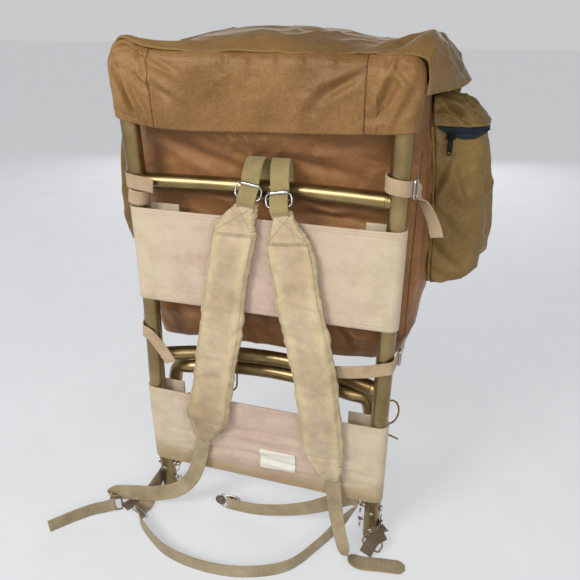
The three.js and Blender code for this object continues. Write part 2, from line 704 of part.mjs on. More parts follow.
function addBars() {
  for (const [name, bar] of [['crossbar_upper', UPPER_BAR], ['crossbar_lower', LOWER_BAR]]) {
    const points = spread(-FRAME_HALF, FRAME_HALF, 11).map((x) => bowPoint(bar, x));
    const rod = tube(new THREE.CatmullRomCurve3(points), { radius: BAR_R, sides: 8, steps: 10 });
    addPiece(name, cut(rod, uprightClearance(-1), uprightClearance(1)), 'bronzeTube');
  }
  const half = [
    new THREE.Vector3(FRAME_HALF, uprightY(HOOP.footZ) + 4, HOOP.footZ),
    new THREE.Vector3(HOOP.half + 6, HOOP.legY - 5, HOOP.footZ + 9),
    new THREE.Vector3(HOOP.half + 1, HOOP.legY, HOOP.footZ + 24),
    new THREE.Vector3(HOOP.half, HOOP.legY, HOOP.footZ + 50),
    new THREE.Vector3(HOOP.half, HOOP.legY, 160),
    new THREE.Vector3(HOOP.half, HOOP.legY, HOOP.z - 32),
    new THREE.Vector3(HOOP.half - 8, HOOP.legY + 0.5, HOOP.z - 9),
    bowPoint(HOOP, HOOP.cornerX),
    bowPoint(HOOP, HOOP.cornerX / 2),
  ];
  const mirrored = half.map((p) => new THREE.Vector3(-p.x, p.y, p.z)).reverse();
  const curve = new THREE.CatmullRomCurve3([...half, bowPoint(HOOP, 0), ...mirrored], false, 'centripetal');
  const hoop = tube(curve, { radius: BAR_R, sides: 8, steps: 32 });
  addPiece('load_hoop', cut(hoop, uprightClearance(-1), uprightClearance(1)), 'bronzeTube');
}

function addPins() {
  for (const { side, s } of SIDES) {
    for (const pin of PINS) {
      const outer = UPRIGHT_R + 2 * GAP + pin.straps[side] * (WEB_T + GAP);
      const y = uprightY(pin.z);
      const x = (offset) => s * (FRAME_HALF + offset);
      const tipX = -UPRIGHT_R - PIN_TIP;
      const shank = rodAlongX(x(outer + 1), x(tipX), y, pin.z, PIN_R, 6);
      const head = rodAlongX(x(outer), x(outer + PIN_HEAD_T), y, pin.z, PIN_HEAD_R, 8);
      const hole = new THREE.CylinderGeometry(PIN_HOLE_R, PIN_HOLE_R, 4 * PIN_R, 6);
      hole.translate(x(tipX + 3), y, pin.z);
      addPiece(`clevis_pin_${pin.label}_${side}`, cut(join(shank, head), hole), 'steel');
      const ringAt = [x(tipX + 3), y, pin.z - RING_R];
      const ring = wireLoop(polygon(RING_R, 10), ringAt, [0, 0, 1], [0, 1, 0], RING_WIRE_R, 5);
      addPiece(`split_ring_${pin.label}_${side}`, ring, 'steel');
    }
  }
}

// A band round both uprights: plan points about the upright's depth, from the left flap to the right flap
function bandPlan(leftFlap, rightFlap) {
  const turn = spread(0, Math.PI, 9);
  const round = turn.map((a) => [BAND_R * Math.sin(a), BAND_R * Math.cos(a)]);
  const panel = spread(-0.7, 0.7, 5).map((share) => [share * FRAME_HALF, -BAND_R]);
  return [
    [-FRAME_HALF + leftFlap, BAND_R],
    [-FRAME_HALF + leftFlap / 2, BAND_R],
    ...round.map(([x, y]) => [-FRAME_HALF - x, y]),
    ...panel,
    ...round.reverse().map(([x, y]) => [FRAME_HALF + x, y]),
    [FRAME_HALF - rightFlap / 2, BAND_R],
    [FRAME_HALF - rightFlap, BAND_R],
  ];
}

function addBands() {
  for (const band of BANDS) {
    const plan = bandPlan(band.leftFlap, band.rightFlap);
    const grid = spread(band.bottom, band.top, 4)
      .map((z) => plan.map(([x, y]) => new THREE.Vector3(x, y + uprightY(z), z)));
    addPiece(band.name, thickSheet(grid, CLOTH), 'bandCloth');
  }
  const heights = spread(LABEL.z - LABEL.height / 2, LABEL.z + LABEL.height / 2, 4);
  const columns = spread(LABEL.x - LABEL.width / 2, LABEL.x + LABEL.width / 2, 2);
  const patchY = (z) => uprightY(z) - BAND_R - CLOTH / 2 - GAP - LABEL.thickness / 2;
  const patch = heights.map((z) => columns.map((x) => new THREE.Vector3(x, patchY(z), z)));
  addPiece('blank_patch', thickSheet(patch, LABEL.thickness), 'patch');
  const lacing = new THREE.CatmullRomCurve3(LACING_ROUTE.map(vector), false, 'centripetal');
  addPiece('band_lacing', tube(lacing, { radius: CORD_R, sides: 5, steps: 32 }), 'cord');
  const end = new THREE.CatmullRomCurve3(LACE_END_ROUTE.map(vector), false, 'centripetal');
  addPiece('lace_end', tube(end, { radius: CORD_R, sides: 6, steps: 22 }), 'cord');
}

// Bag body and what sits on its surface
const bagRow = (z, column) => along(BAG_ROWS, 'z', z, column);

function bagPoint(z, turn) {
  const [front, rear] = [bagRow(z, 'front'), bagRow(z, 'rear')];
  const x = bagRow(z, 'half') * signedPower(Math.cos(turn), 2 / BAG_CORNER);
  const y = (front + rear) / 2 + ((rear - front) / 2) * signedPower(Math.sin(turn), 2 / BAG_CORNER);
  const bulge = turn > Math.PI ? bagRow(z, 'bulge') * Math.max(0, 1 - (x / BAG_BULGE_HALF) ** 2) : 0;
  return new THREE.Vector3(x, y - bulge, z);
}

function bagSideX(y, z) {
  const [front, rear] = [bagRow(z, 'front'), bagRow(z, 'rear')];
  const off = Math.abs(y - (front + rear) / 2) / ((rear - front) / 2);
  return bagRow(z, 'half') * (1 - Math.min(off, 1) ** BAG_CORNER) ** (1 / BAG_CORNER);
}

function addBag() {
  const turns = spread(0, 2 * Math.PI, 25).slice(0, 24);
  const heights = BAG_ROWS.map((row) => row.z);
  addPiece('bag_body', vessel(heights.map((z) => turns.map((turn) => bagPoint(z, turn))), CLOTH), 'nylon');
}

// Yoke plan: behind the left upright, round it, across the front, round the right upright and back
function yokePlan(reach) {
  const round = spread(0, Math.PI, 7).map((a) => [reach * Math.sin(a), reach * Math.cos(a)]);
  const panel = spread(-0.75, 0.75, 5).map((share) => [share * FRAME_HALF, -reach]);
  const end = Math.min(reach, YOKE_END_Y + 2);
  return [
    [-YOKE_END_X, end],
    ...round.map(([x, y]) => [-FRAME_HALF - x, y]),
    ...panel,
    ...round.reverse().map(([x, y]) => [FRAME_HALF + x, y]),
    [YOKE_END_X, end],
  ];
}

function addYoke() {
  const grid = YOKE_ROWS.map((row, i) => yokePlan(row.reach).map(([x, y]) => {
    const z = i === 0 ? along(YOKE_HEM, 'x', x, 'z') : row.z;
    return new THREE.Vector3(x, y + uprightY(Math.min(z, UPRIGHT_TOP)), z);
  }));
  addPiece('bag_yoke', thickSheet(grid, CLOTH), 'nylon');
}

function addLid() {
  const grid = LID_ROWS.map((row) => LID_ACROSS.map(({ x, drop }) => {
    const overYoke = row.y < LID_FRONT.y && x < LID_FRONT.rightX;
    const z = row.z - row.skirt * drop;
    const off = ((x - LID_PEAK.x) / LID_PEAK.across) ** 2 + ((row.y - LID_PEAK.y) / LID_PEAK.along) ** 2;
    const peak = LID_PEAK.lift * Math.exp(-off);
    const width = x < 0 ? row.left : row.right;
    const out = Math.min(x * width, row.flap);
    return new THREE.Vector3(out, row.y, peak + (overYoke ? Math.max(z, LID_FRONT.lowest) : z));
  }));
  addPiece('bag_lid', thickSheet(grid, CLOTH), 'nylon');
}

// A point on a pocket-like form: turn runs from the front edge round to the rear edge
function pocketPoint(rows, { side: name, s }, turn, z, proud) {
  const half = along(rows, 'z', z, 'half') + proud;
  const out = along(rows, 'z', z, 'out') * POCKET_FILL[name] + proud;
  const y = POCKET_MID_Y - half * signedPower(Math.cos(turn), POCKET_SQUARE);
  const side = bagSideX(y, z) + POCKET_SEAM_GAP;
  return new THREE.Vector3(s * (side + out * Math.sin(turn) ** POCKET_SQUARE), y, z);
}

function addPockets() {
  const turns = spread(0, Math.PI, 12);
  for (const hand of SIDES) {
    const { side } = hand;
    const sheet = (rows) => rows.map(({ z }) => turns.map((turn) => pocketPoint(rows, hand, turn, z, 0)));
    addPiece(`side_pocket_${side}`, thickSheet(sheet(POCKET_ROWS), CLOTH), 'nylon');
    addPiece(`pocket_flap_${side}`, thickSheet(sheet(FLAP_ROWS), CLOTH), 'nylon');
    const proud = CLOTH / 2 + 2 * GAP + ZIP.thickness / 2;
    const zipTurns = [...ZIP.starts, ...turns.slice(ZIP.firstColumn, ZIP.lastColumn + 1)];
    const zip = [ZIP.bottom, ZIP.top]
      .map((z) => zipTurns.map((turn) => pocketPoint(POCKET_ROWS, hand, turn, z, proud)));
    addPiece(`pocket_zip_${side}`, thickSheet(zip, ZIP.thickness), 'zip');
    addPull(hand);
  }
}

// Zip slider with a pin across two ears, and the pull that swings on the pin
function addPull(hand) {
  const { side } = hand;
  const seat = pocketPoint(POCKET_ROWS, hand, PULL.turn, PULL.z + 10, 0);
  const faceY = seat.y - CLOTH / 2 - ZIP.thickness - PULL.stand;
  const pinY = faceY - 4;
  const base = new THREE.BoxGeometry(11, 3, 9);
  base.translate(seat.x, faceY + 0.5, PULL.z + 9);
  const ears = [-1, 1].map((e) => {
    const ear = new THREE.BoxGeometry(1.6, 7, 4);
    ear.translate(seat.x + e * (PULL.width / 2 + 1.2), faceY - 2.4, PULL.z + 9);
    return ear;
  });
  const reach = PULL.width / 2 + 1.8;
  const pin = rodAlongX(seat.x - reach, seat.x + reach, pinY, PULL.z + 9, PULL.pinR, 8);
  addPiece(`zip_slider_${side}`, join(base, ...ears, pin), 'plastic');
  const outline = new THREE.Shape();
  const half = PULL.width / 2;
  outline.absarc(0, 0, half, 0, Math.PI, false);
  outline.lineTo(-half, -PULL.length + half);
  outline.absarc(0, -PULL.length + half, half, Math.PI, 2 * Math.PI, false);
  const lowEnd = new THREE.Vector2(0, -PULL.length + half);
  outline.holes.push(new THREE.Path(polygon(2, 6).map((p) => p.add(lowEnd))));
  const slab = { depth: PULL.thickness, bevelEnabled: false, curveSegments: 3 };
  const plate = new THREE.ExtrudeGeometry(outline, slab);
  plate.translate(0, 0, -PULL.thickness / 2);
  plate.rotateX(Math.PI / 2);
  plate.translate(seat.x, pinY, PULL.z + 9);
  const barrel = rodAlongX(seat.x - half + 0.4, seat.x + half - 0.4, pinY, PULL.z + 9, PULL.eye + 1, 8);
  const bore = rodAlongX(seat.x - 9, seat.x + 9, pinY, PULL.z + 9, PULL.eye, 8);
  const clearTop = new THREE.BoxGeometry(12, 8, 8);
  clearTop.translate(seat.x, pinY, PULL.z + 9 + PULL.eye + 5);
  addPiece(`zip_pull_${side}`, cut(join(plate, barrel), bore, clearTop), 'plastic');
}

// Shoulder straps
function addPads() {
  const section = spread(0, 2 * Math.PI, 11).slice(0, 10);
  for (const { side } of SIDES) {
    const rows = PAD_ROWS[side];
    const middles = rows.map((row) => new THREE.Vector3(row.x, row.front + PAD_T / 2, row.z));
    const centre = new THREE.CatmullRomCurve3(middles);
    const rings = rows.map((row, i) => {
      const tangent = centre.getTangent(i / (rows.length - 1));
      const across = new THREE.Vector3(0, -1, 0).cross(tangent).normalize();
      const fill = row.width < 30 ? 0.4 : Math.min(1, 0.4 + (row.width - 30) / 50);
      return section.map((a) => new THREE.Vector3(row.x, row.front + PAD_T / 2, row.z)
        .addScaledVector(across, (row.width / 2) * signedPower(Math.cos(a), 0.6))
        .add(new THREE.Vector3(0, (PAD_T / 2) * fill * signedPower(Math.sin(a), 0.8), 0)));
    });
    addPiece(`shoulder_pad_${side}`, loft(rings), 'padCloth');
  }
}

function addUpperStraps() {
  for (const { side } of SIDES) {
    const row = UPPER_STRAPS[side];
    const bar = bowPoint(UPPER_BAR, row.top);
    const rows = UPPER_LOOP.map(({ dy, dz }, i) => {
      const lean = i === 0 ? 1 : Math.max(0, 1 - i / 4);
      const x = row.top + (row.buckle - row.top) * lean;
      return { at: [x, bar.y + dy, bar.z + dz], across: [1, 0, 0] };
    });
    addPiece(`upper_webbing_${side}`, strap(rows, WEB_W, WEB_T, 20), 'webbing');
    const frame = cutRectangle(UPPER_BUCKLE.width, UPPER_BUCKLE.height, 4);
    const at = [row.buckle, bar.y + UPPER_LOOP[0].dy - row.stand, row.buckleZ];
    const turned = { x: [1, 0, row.splay], y: [-row.splay, 0.25, 1] };
    const loop = wireLoop(frame, at, turned.x, turned.y, UPPER_BUCKLE.wire, 5);
    addPiece(`upper_buckle_${side}`, loop, 'steel');
  }
}

function addLowerStraps() {
  for (const { side, s } of SIDES) {
    addPiece(`lower_webbing_${side}`, strap(LOWER_WEB[side], WEB_W, WEB_T, 28), 'webbing');
    const pinHole = pinHoleRod(s * (FRAME_HALF - 40), s * (FRAME_HALF + 40), ANCHOR_HOLE_Z);
    const anchor = strap(ANCHOR_WEB[side], WEB_W - 5, WEB_T - 0.4, 16);
    addPiece(`anchor_webbing_${side}`, cut(anchor, pinHole), 'darkWebbing');
    const { at, alongX, alongY } = LOWER_BUCKLES[side];
    const frame = cutRectangle(LOWER_BUCKLE.width, LOWER_BUCKLE.height, 3);
    addPiece(`lower_buckle_${side}`, wireLoop(frame, at, alongX, alongY, LOWER_BUCKLE.wire, 5), 'steel');
  }
}

// Waist belt with a buckle whose round plate swings on the frame's outer bar
function addBelt() {
  const [upperHole, lowerHole] = PINS.map((pin) => pinHoleRod(-FRAME_HALF - 40, FRAME_HALF + 40, pin.z));
  addPiece('belt_long', cut(strap(BELT_LONG, BELT_W, WEB_T, BELT_STEPS), lowerHole), 'webbing');
  addPiece('belt_short', cut(strap(BELT_SHORT, BELT_W - 1, WEB_T, 30), upperHole), 'webbing');
  const { x, y, z, width, height, wire, barX } = BELT_BUCKLE;
  const frame = wireLoop(cutRectangle(width, height, 3), [x, y, z], [1, 0, 0], [0, 0, 1], wire, 6);
  const bar = rodAlongZ(barX, y, z, wire, height, 6);
  addPiece('belt_buckle_frame', join(frame, bar), 'steel');
  const axisX = x - width / 2;
  const plate = new THREE.CylinderGeometry(BELT_PLATE.radius, BELT_PLATE.radius, BELT_PLATE.thickness, 14);
  plate.translate(axisX - BELT_PLATE.offset, y, z);
  const barrel = rodAlongZ(axisX, y, z, BELT_PLATE.eyeR + BELT_PLATE.eyeWall, BELT_PLATE.barrel, 8);
  const bore = rodAlongZ(axisX, y, z, BELT_PLATE.eyeR, height, 8);
  addPiece('belt_buckle_plate', cut(join(plate, barrel), bore), 'steel');
  const { middle, tangent, wide } = strapAt(BELT_LONG, BELT_KEEPER.step / BELT_STEPS);
  const keeper = cutRectangle(BELT_KEEPER.width, BELT_KEEPER.depth, 1.5);
  const flat = new THREE.Vector3().crossVectors(tangent, wide);
  const [centre, alongX, alongY] = [middle, wide, flat].map((direction) => direction.toArray());
  addPiece('belt_keeper', wireLoop(keeper, centre, alongX, alongY, BELT_KEEPER.wire, 5), 'steel');
}

function addTies() {
  for (const [name, rows] of Object.entries(TIES)) {
    addPiece(name, strap(rows, TIE_W, TIE_T, 16), 'tie');
  }
  for (const { name, at, alongX, alongY } of TIE_BUCKLES) {
    const frame = cutRectangle(TIE_BUCKLE.width, TIE_BUCKLE.height, 2.5);
    addPiece(name, wireLoop(frame, at, alongX, alongY, TIE_BUCKLE.wire, 5), 'steel');
  }
}

addUprights();
addBars();
addPins();
addBands();
addBag();
addYoke();
addLid();
addPockets();
addPads();
addUpperStraps();
addLowerStraps();
addBelt();
addTies();

const part = new THREE.Group();
part.add(pack);

export default part;
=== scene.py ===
# Looks of an external-frame backpack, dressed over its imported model. Metres, in the model's own frame.
import math

import bmesh
import bpy
import numpy as np
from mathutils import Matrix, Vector, noise
from mathutils.bvhtree import BVHTree


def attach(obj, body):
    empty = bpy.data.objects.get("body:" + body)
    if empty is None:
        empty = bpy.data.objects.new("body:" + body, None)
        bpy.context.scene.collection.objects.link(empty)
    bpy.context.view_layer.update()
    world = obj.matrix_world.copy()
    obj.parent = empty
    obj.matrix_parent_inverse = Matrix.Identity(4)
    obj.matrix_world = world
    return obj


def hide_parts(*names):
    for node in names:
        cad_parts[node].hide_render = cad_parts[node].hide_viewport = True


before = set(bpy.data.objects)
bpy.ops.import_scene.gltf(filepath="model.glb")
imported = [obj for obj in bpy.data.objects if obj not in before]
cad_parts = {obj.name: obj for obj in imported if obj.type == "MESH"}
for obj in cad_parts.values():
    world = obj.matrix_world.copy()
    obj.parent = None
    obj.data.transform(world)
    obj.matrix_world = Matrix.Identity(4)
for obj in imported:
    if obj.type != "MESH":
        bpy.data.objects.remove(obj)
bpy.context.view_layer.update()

# Tables below are in millimetres from the middle between the feet: x across, y to the rear, z up
MM = 0.001
FEET = np.array((0.0, 23.3, -160.0))
# The way in from the front, and which way each side lies
FRONT = (0, 1, 0)
SIDES = {"left": -1, "right": 1}

# Camera and stage
CAMERA_AT = (249.5, -698.7, 774.7)
CAMERA_YAW = 16.6
CAMERA_PITCH = 25.93
CAMERA_LENS = 36.47
CAMERA_SENSOR = 36
LIGHTS = {
    # name: place, aim, width, height, watts, colour
    "key": ((-900, -1600, 1700), (0, 60, 420), 0.8, 0.7, 38, (1.0, 0.98, 0.95)),
    "front": ((950, -1700, 1350), (0, 60, 420), 2.2, 0.8, 27, (1.0, 0.98, 0.95)),
    "rear": ((-500, 2400, 800), (0, 100, 420), 2.4, 1.2, 20, (0.97, 0.98, 1.0)),
}
SKY = [
    # share of the way up, grey
    (0.0, 1.35), (0.12, 1.3), (0.5, 0.62),
]
SKY_TINT = np.array((0.98, 0.99, 1.0))
WORLD_STRENGTH = 0.44
FLOOR_HALF = 12.0
FLOOR_GLOW = 0.44
FLOOR_GLOW_COLOUR = (0.97, 0.98, 1.0, 1)

# Looks: screen colours and surface
NYLONS = {
    # name: dark, middle and light
    "nylon": ((90, 61, 33), (118, 86, 50), (140, 106, 63)),
    "nylon_body": ((94, 61, 36), (125, 86, 53), (148, 106, 66)),
    "nylon_lid": ((90, 66, 36), (116, 88, 50), (138, 108, 64)),
    "nylon_olive": ((80, 62, 32), (106, 84, 45), (128, 103, 58)),
    # painted shade: darker nylon for the seams, standing in for the shade in their grooves
    "nylon_seam_shade": ((66, 44, 28), (84, 58, 38), (104, 76, 50)),
}
NYLON_SHINE = (1.0, 0.86, 0.68, 1)
SLUBS = [
    # repeats in a metre across, in depth and up: thick places along the upright and the level yarns
    (640, 640, 190), (190, 190, 640),
]
WEBBINGS = {
    # name: dark, middle and light, distance between ribs
    "webbing": ((114, 99, 75), (147, 131, 102), (173, 158, 128), 2.0),
    "olive_webbing": ((108, 94, 60), (138, 122, 80), (160, 145, 100), 2.0),
    # painted shade: a darker copy of the webbing, for the anchor webbing that faces away from the light
    "dark_webbing": ((70, 56, 44), (98, 82, 66), (122, 104, 84), 2.0),
    "tie": ((134, 111, 84), (164, 141, 113), (186, 163, 133), 1.6),
}
METALS = {
    # name: dark, middle and light, roughness, depth of scratches, share of clear coat
    "bronze": ((112, 93, 56), (146, 124, 80), (178, 156, 108), 0.26, 0.015, 0.5),
    "steel": ((150, 148, 144), (190, 188, 184), (220, 218, 214), 0.16, 0.05, 0.0),
    "steel_dark": ((84, 76, 64), (128, 118, 102), (160, 150, 134), 0.28, 0.08, 0.0),
}
PLAINS = {
    # name: dark and light, roughness, fineness of the grain, its depth, gloss
    "plastic": ((10, 10, 10), (20, 20, 19), 0.5, 500.0, 0.06, 0.16),
    "zip": ((13, 19, 27), (24, 33, 44), 0.7, 700.0, 0.15, 0.25),
    "patch": ((196, 192, 182), (206, 202, 193), 0.85, 1400.0, 0.1, 0.2),
    "cord": ((96, 64, 30), (146, 106, 58), 0.8, 900.0, 0.2, 0.2),
    "thread": ((128, 92, 54), (168, 128, 82), 0.7, 900.0, 0.1, 0.3),
    "pale_thread": ((150, 132, 96), (184, 168, 130), 0.7, 900.0, 0.1, 0.3),
    "pad_thread": ((96, 82, 56), (126, 110, 80), 0.7, 900.0, 0.1, 0.3),
}
WHITE = (255, 255, 255)

# Tubes
FRAME_HALF = 178.5
UPRIGHT_R = 12.5
UPRIGHT_FOOT = 3
UPRIGHT_TOP = 716
BAR_R = 11
BAR_SHORT = 6
TUBE_SIDES = 28
UPRIGHT_POINTS = 90
BAR_POINTS = 60
HOOP_POINTS = 160
NEARLY_UPRIGHT = 0.2
UPRIGHT_SIDE = [
    # height, depth
    (0, -3), (40, -3.4), (90, -6.5), (150, -8), (230, -7), (300, -2), (400, 3), (500, 4), (600, 1),
    (720, -4),
]
BARS = {
    # node: height, bow
    "crossbar_upper": (557, 13.5),
    "crossbar_lower": (279, 42),
}
HOOP_HEIGHT = 255
HOOP_BOW = 42
HOOP_LEG = [
    # across, depth, height, from the foot of one leg to the bend at its top
    (169.5, 1.2, 56), (167, 15.6, 63), (162, 20.6, 78), (161, 20.6, 104), (161, 20.6, 160),
    (161, 20.6, 223), (153, 21.1, 246),
]
HOOP_TOP = (128, 64, 0)
COLLAR_R = BAR_R + 0.6
COLLAR_OFFSETS = (-1.0, 0.3, 1.6)
RIVETS = [
    # across, height
    (-178.5, 57), (178.5, 56), (178.5, 20),
]
RIVET_R = 3.4
RIVET_RISE = 1.8
RIVET_SUNK = 0.4
RIVET_RINGS = [
    # share of the radius, share of the rise
    (1.0, 0.0), (0.97, 0.35), (0.8, 0.75), (0.45, 0.95),
]
RIVET_SIDES = 20

# Cords
CORD_R = 1.5
CORD_SIDES = 15
CORD_LOBES = 3
LOBE_RISE = 0.14
CORD_TWIST = 6.0
LACE_POINTS = 150
LACING_POINTS = 420
LACE_END = [
    (174, 9.8, 206), (175.5, 10.6, 216), (179, 13, 230), (184, 17, 243), (190, 20, 251), (197, 21.5, 249),
    (202, 22, 239), (202, 22, 226), (197.5, 22, 214), (190, 22, 206), (183, 22, 199.5),
    (181.5, 21.5, 193.5), (187, 20.5, 189), (196, 19, 187), (206, 18, 184.5),
]
LACING = [
    (-52, 22.2, 288), (-52, 20.4, 268), (-51.5, 18.5, 245), (-54, 15, 226), (-90, 10.4, 210),
    (-134, 9.8, 204), (-147, 9.8, 196), (-134, 9.8, 187), (0, 10, 172), (124, 9.8, 157), (140, 9.8, 148),
    (124, 9.8, 139), (0, 10, 126), (-134, 10, 112), (-147, 10, 103),
]

# Straps: place, then the direction across the strap, at each row
WEB_WIDTH = 25
WEB_THICK = 2
STRAP_STEP = 3.0
STRAP_ROW_POINTS = 8
STRAP_SECTION = [
    # share across, share of the thickness
    (-0.5, 0.0), (-0.485, 0.34), (-0.44, 0.5), (-0.2, 0.46), (0.0, 0.46), (0.2, 0.46), (0.44, 0.5),
    (0.485, 0.34), (0.5, 0.0), (0.485, -0.34), (0.44, -0.5), (0.2, -0.46), (0.0, -0.46), (-0.2, -0.46),
    (-0.44, -0.5), (-0.485, -0.34),
]
UPPER_LOOP = [
    # depth and height from the middle of the upper bar
    (-32.5, 6), (-27, 22), (-18, 35), (-6, 41), (6, 36), (12.9, 21), (13.8, 4), (9.3, -9.4), (0, -12.7),
    (-12, -10.6), (-22, -8),
]
UPPER_LEAN_ROWS = 4
UPPER_STRAPS = {
    # node: place across at the bar, place across at the buckle
    "upper_webbing_left": (-5, -8),
    "upper_webbing_right": (25, 33),
}
STRAPS = {
    "lower_webbing_left": [
        (-92.5, -25.8, 158, 0.95, 0, -0.25), (-95.5, -27.2, 145, 0.95, 0, -0.3),
        (-102, -31, 114, 0.92, 0, -0.4), (-116, -38, 72, 0.75, -0.2, -0.62),
        (-143, -42, 42, 0.45, -0.35, -0.82), (-185, -48, 27, 0.12, -0.45, -0.88),
        (-226, -55, 24, 0, -0.4, -0.92), (-252, -61, 22, 0, -0.35, -0.94), (-259, -68, 19, 0, -0.2, -0.98),
        (-252, -73.4, 17.6, 0, -0.1, -1), (-244, -79, 16.8, 0.05, -0.1, -1),
        (-252, -86, 15.5, 0.05, 0, -1), (-275, -102, 15.5, 0.05, 0.05, -1), (-300, -127, 15, 0, 0.05, -1),
        (-321, -151, 14.5, 0, 0.05, -1),
    ],
    "lower_webbing_right": [
        (114.5, -26.1, 140, 0.97, 0, 0.25), (117, -27.3, 126, 0.97, 0, 0.2),
        (122, -33, 92, 0.97, -0.1, 0.18), (129, -40, 55, 0.95, -0.2, 0.2),
        (139, -50, 26, 0.9, -0.35, 0.22), (149, -62, 12.8, 0.8, -0.5, 0.3),
        (159, -66, 7.4, 0.4, -0.9, 0.05), (170, -66, 3.8, 0.12, -0.99, 0), (184, -64, 2.6, 0.08, -0.99, 0),
        (204, -60, 2.2, 0.05, -1, 0), (226, -57, 2.2, 0.02, -1, 0), (240, -55, 2.2, 0, -1, 0),
    ],
    "anchor_webbing_left": [
        (-192.5, -3.3, 38, 0, 1, 0), (-192.5, -3.3, 18, 0, 1, 0), (-197, -6, 6, -0.2, 0.95, 0),
        (-206, -17, 2.6, -0.6, 0.78, 0), (-216, -38, 2.6, -0.9, 0.42, 0), (-224, -57, 3.4, -0.9, 0.4, 0),
        (-231.4, -72, 4.6, -0.87, 0.5, 0),
    ],
    "anchor_webbing_right": [
        (192.5, -3.3, 38, 0, 1, 0), (192.5, -3.3, 23, 0, 1, 0), (200, -9, 16, -0.3, 0.9, 0.2),
        (198, -20, 21, -0.75, 0.55, 0.3), (188, -31, 20, -0.93, 0.3, 0.15),
        (182, -41, 13, -0.95, 0.25, 0.1), (178, -49.5, 5.4, -0.97, 0.2, 0),
    ],
    "belt_long": [
        (-194.9, 7, 30, 0, 0, -1), (-194.9, -10, 29.5, 0, 0, -1), (-196.3, -26, 25, 0.2, 0.3, -0.95),
        (-198, -43, 13.4, 0.8, 0.3, -0.5), (-198, -61, 7, 0.97, 0, -0.2), (-197, -75, 14.4, 0.85, 0, -0.5),
        (-187, -95, 13.6, 0, 0, -1), (-164, -113, 13.2, 0, 0, -1), (-120, -137, 13.2, 0, 0, -1),
        (-55, -147, 13.2, 0, 0, -1), (10, -139, 13.2, 0, 0, -1), (70, -110, 13.2, 0, 0, -1),
        (103, -62, 13.6, 0, 0, -1), (125, -27, 21, 0.2, 0.12, -1), (150, -7, 52, 0.3, 0.85, -0.45),
    ],
    "belt_short": [
        (156.5, -4.2, 66, 0.1, 0.9, 0.3), (147, -6, 73, 0.35, 0.65, 0.65), (118, -13, 62, 0.3, 0.3, 0.9),
        (80, -17, 42, 0.2, 0.1, 1), (30, -19, 23, 0.1, 0, 1), (-12, -22, 16, 0, 0, 1),
        (-40, -24, 16.5, 0, 0, 1), (-58, -23.4, 16.5, 0, 0, 1), (-64, -20, 16.5, 0, 0, 1),
        (-58, -16.6, 16.5, 0, 0, 1), (-46, -16.4, 16.5, 0, 0, 1),
    ],
    "tie_upper_left": [
        (-203, 44, 566, 0, 0, 1), (-197, 24, 564, 0, 0, 1), (-193, 4, 562, 0, 0, 1),
        (-188.8, -7.8, 560, 0, 0, 1), (-178.5, -11.8, 559, 0.08, 0, 1), (-163, -12.4, 557, 0.15, 0, 1),
        (-147, -12.4, 555, 0.3, 0, 1),
    ],
    "tie_upper_right": [
        (177, 17, 583, 0, 0, 1), (166, 13, 583, 0, 0, 1), (161.5, 3, 582, 0, 0, 1),
        (166, -8.5, 580.5, 0, 0, 1), (178.5, -13.2, 579, 0, 0, 1), (190, -8, 577, 0, 0, 1),
        (194.5, 4, 575, 0, 0, 1), (199, 16, 570, -0.1, 0, 1), (209, 24, 552, -0.8, 0.3, 0.55),
        (222, 27, 526, -0.85, 0.45, 0.3), (228, 26, 508, -0.85, 0.45, 0.2),
    ],
    "tie_lower_left": [
        (-199, 50, 333, 0, 0, 1), (-196, 26, 332, 0, 0, 1), (-193.4, 2, 329, 0, 0, 1),
        (-189, -12, 326, 0.1, 0, 1), (-177, -15, 321, 0.3, 0, 0.95), (-164, -17, 308, 0.65, 0, 0.75),
        (-152, -17, 290, 0.85, 0, 0.5), (-146, -16, 278, 0.88, 0, 0.45),
    ],
    "tie_lower_right": [
        (199, 50, 335, 0, 0, 1), (197, 26, 334, 0, 0, 1), (193.6, 2, 331, 0, 0, 1),
        (189.5, -12.5, 328, 0, 0, 1), (177, -15, 324, -0.05, 0, 1), (160, -16.5, 319, -0.15, 0, 1),
        (138, -17, 314, -0.2, 0, 1), (114, -17, 310, -0.2, 0, 1),
    ],
}
ROUND_TAIL = "lower_webbing_right"
ROUND_TAIL_LEAST = 0.1
TIE_WRAP = {
    # the upper left tie's second turn round its upright, from behind on the left to behind on the right
    "height": 536, "radius": 14.2, "slope": 2.5, "turns": (110, 150, 190, 230, 270, 310, 350, 390),
}
# Tilt of that turn: its slope over about its radius
TIE_WRAP_TILT = TIE_WRAP["slope"] / 14
STRAP_KINDS = {
    # start of the node's name: width, thickness, look
    "lower": (WEB_WIDTH, WEB_THICK, "webbing"),
    # the anchor webbing takes the darker webbing copy, which is painted shade
    "anchor": (WEB_WIDTH - 5, WEB_THICK - 0.4, "dark_webbing"),
    "belt": (WEB_WIDTH - 0.5, WEB_THICK, "webbing"),
    "tie": (20, 1.8, "tie"),
}

# Upper buckles, with the webbing that runs from each pad up through them
TAB_PATH = [
    # along the buckle from its middle, depth
    (9.0, 4.2), (5.5, 2.0), (1.0, -0.6), (-5.0, -2.4), (-10.0, -3.0), (-14.0, -2.2), (-19.0, 1.5),
    (-24.0, 4.0),
]
TAB_SLOPE = 0.25
UPPER_BUCKLES = {
    # side: middle of the buckle, lean
    "left": ((-8, -20.2, 561), -0.16),
    "right": ((33, -22.2, 554), 0.16),
}
BUCKLE_RISE = 9.5
ROLLER_HALF = 13.5
ROLLER_R = 2.4
ROLLER_POINTS = 6

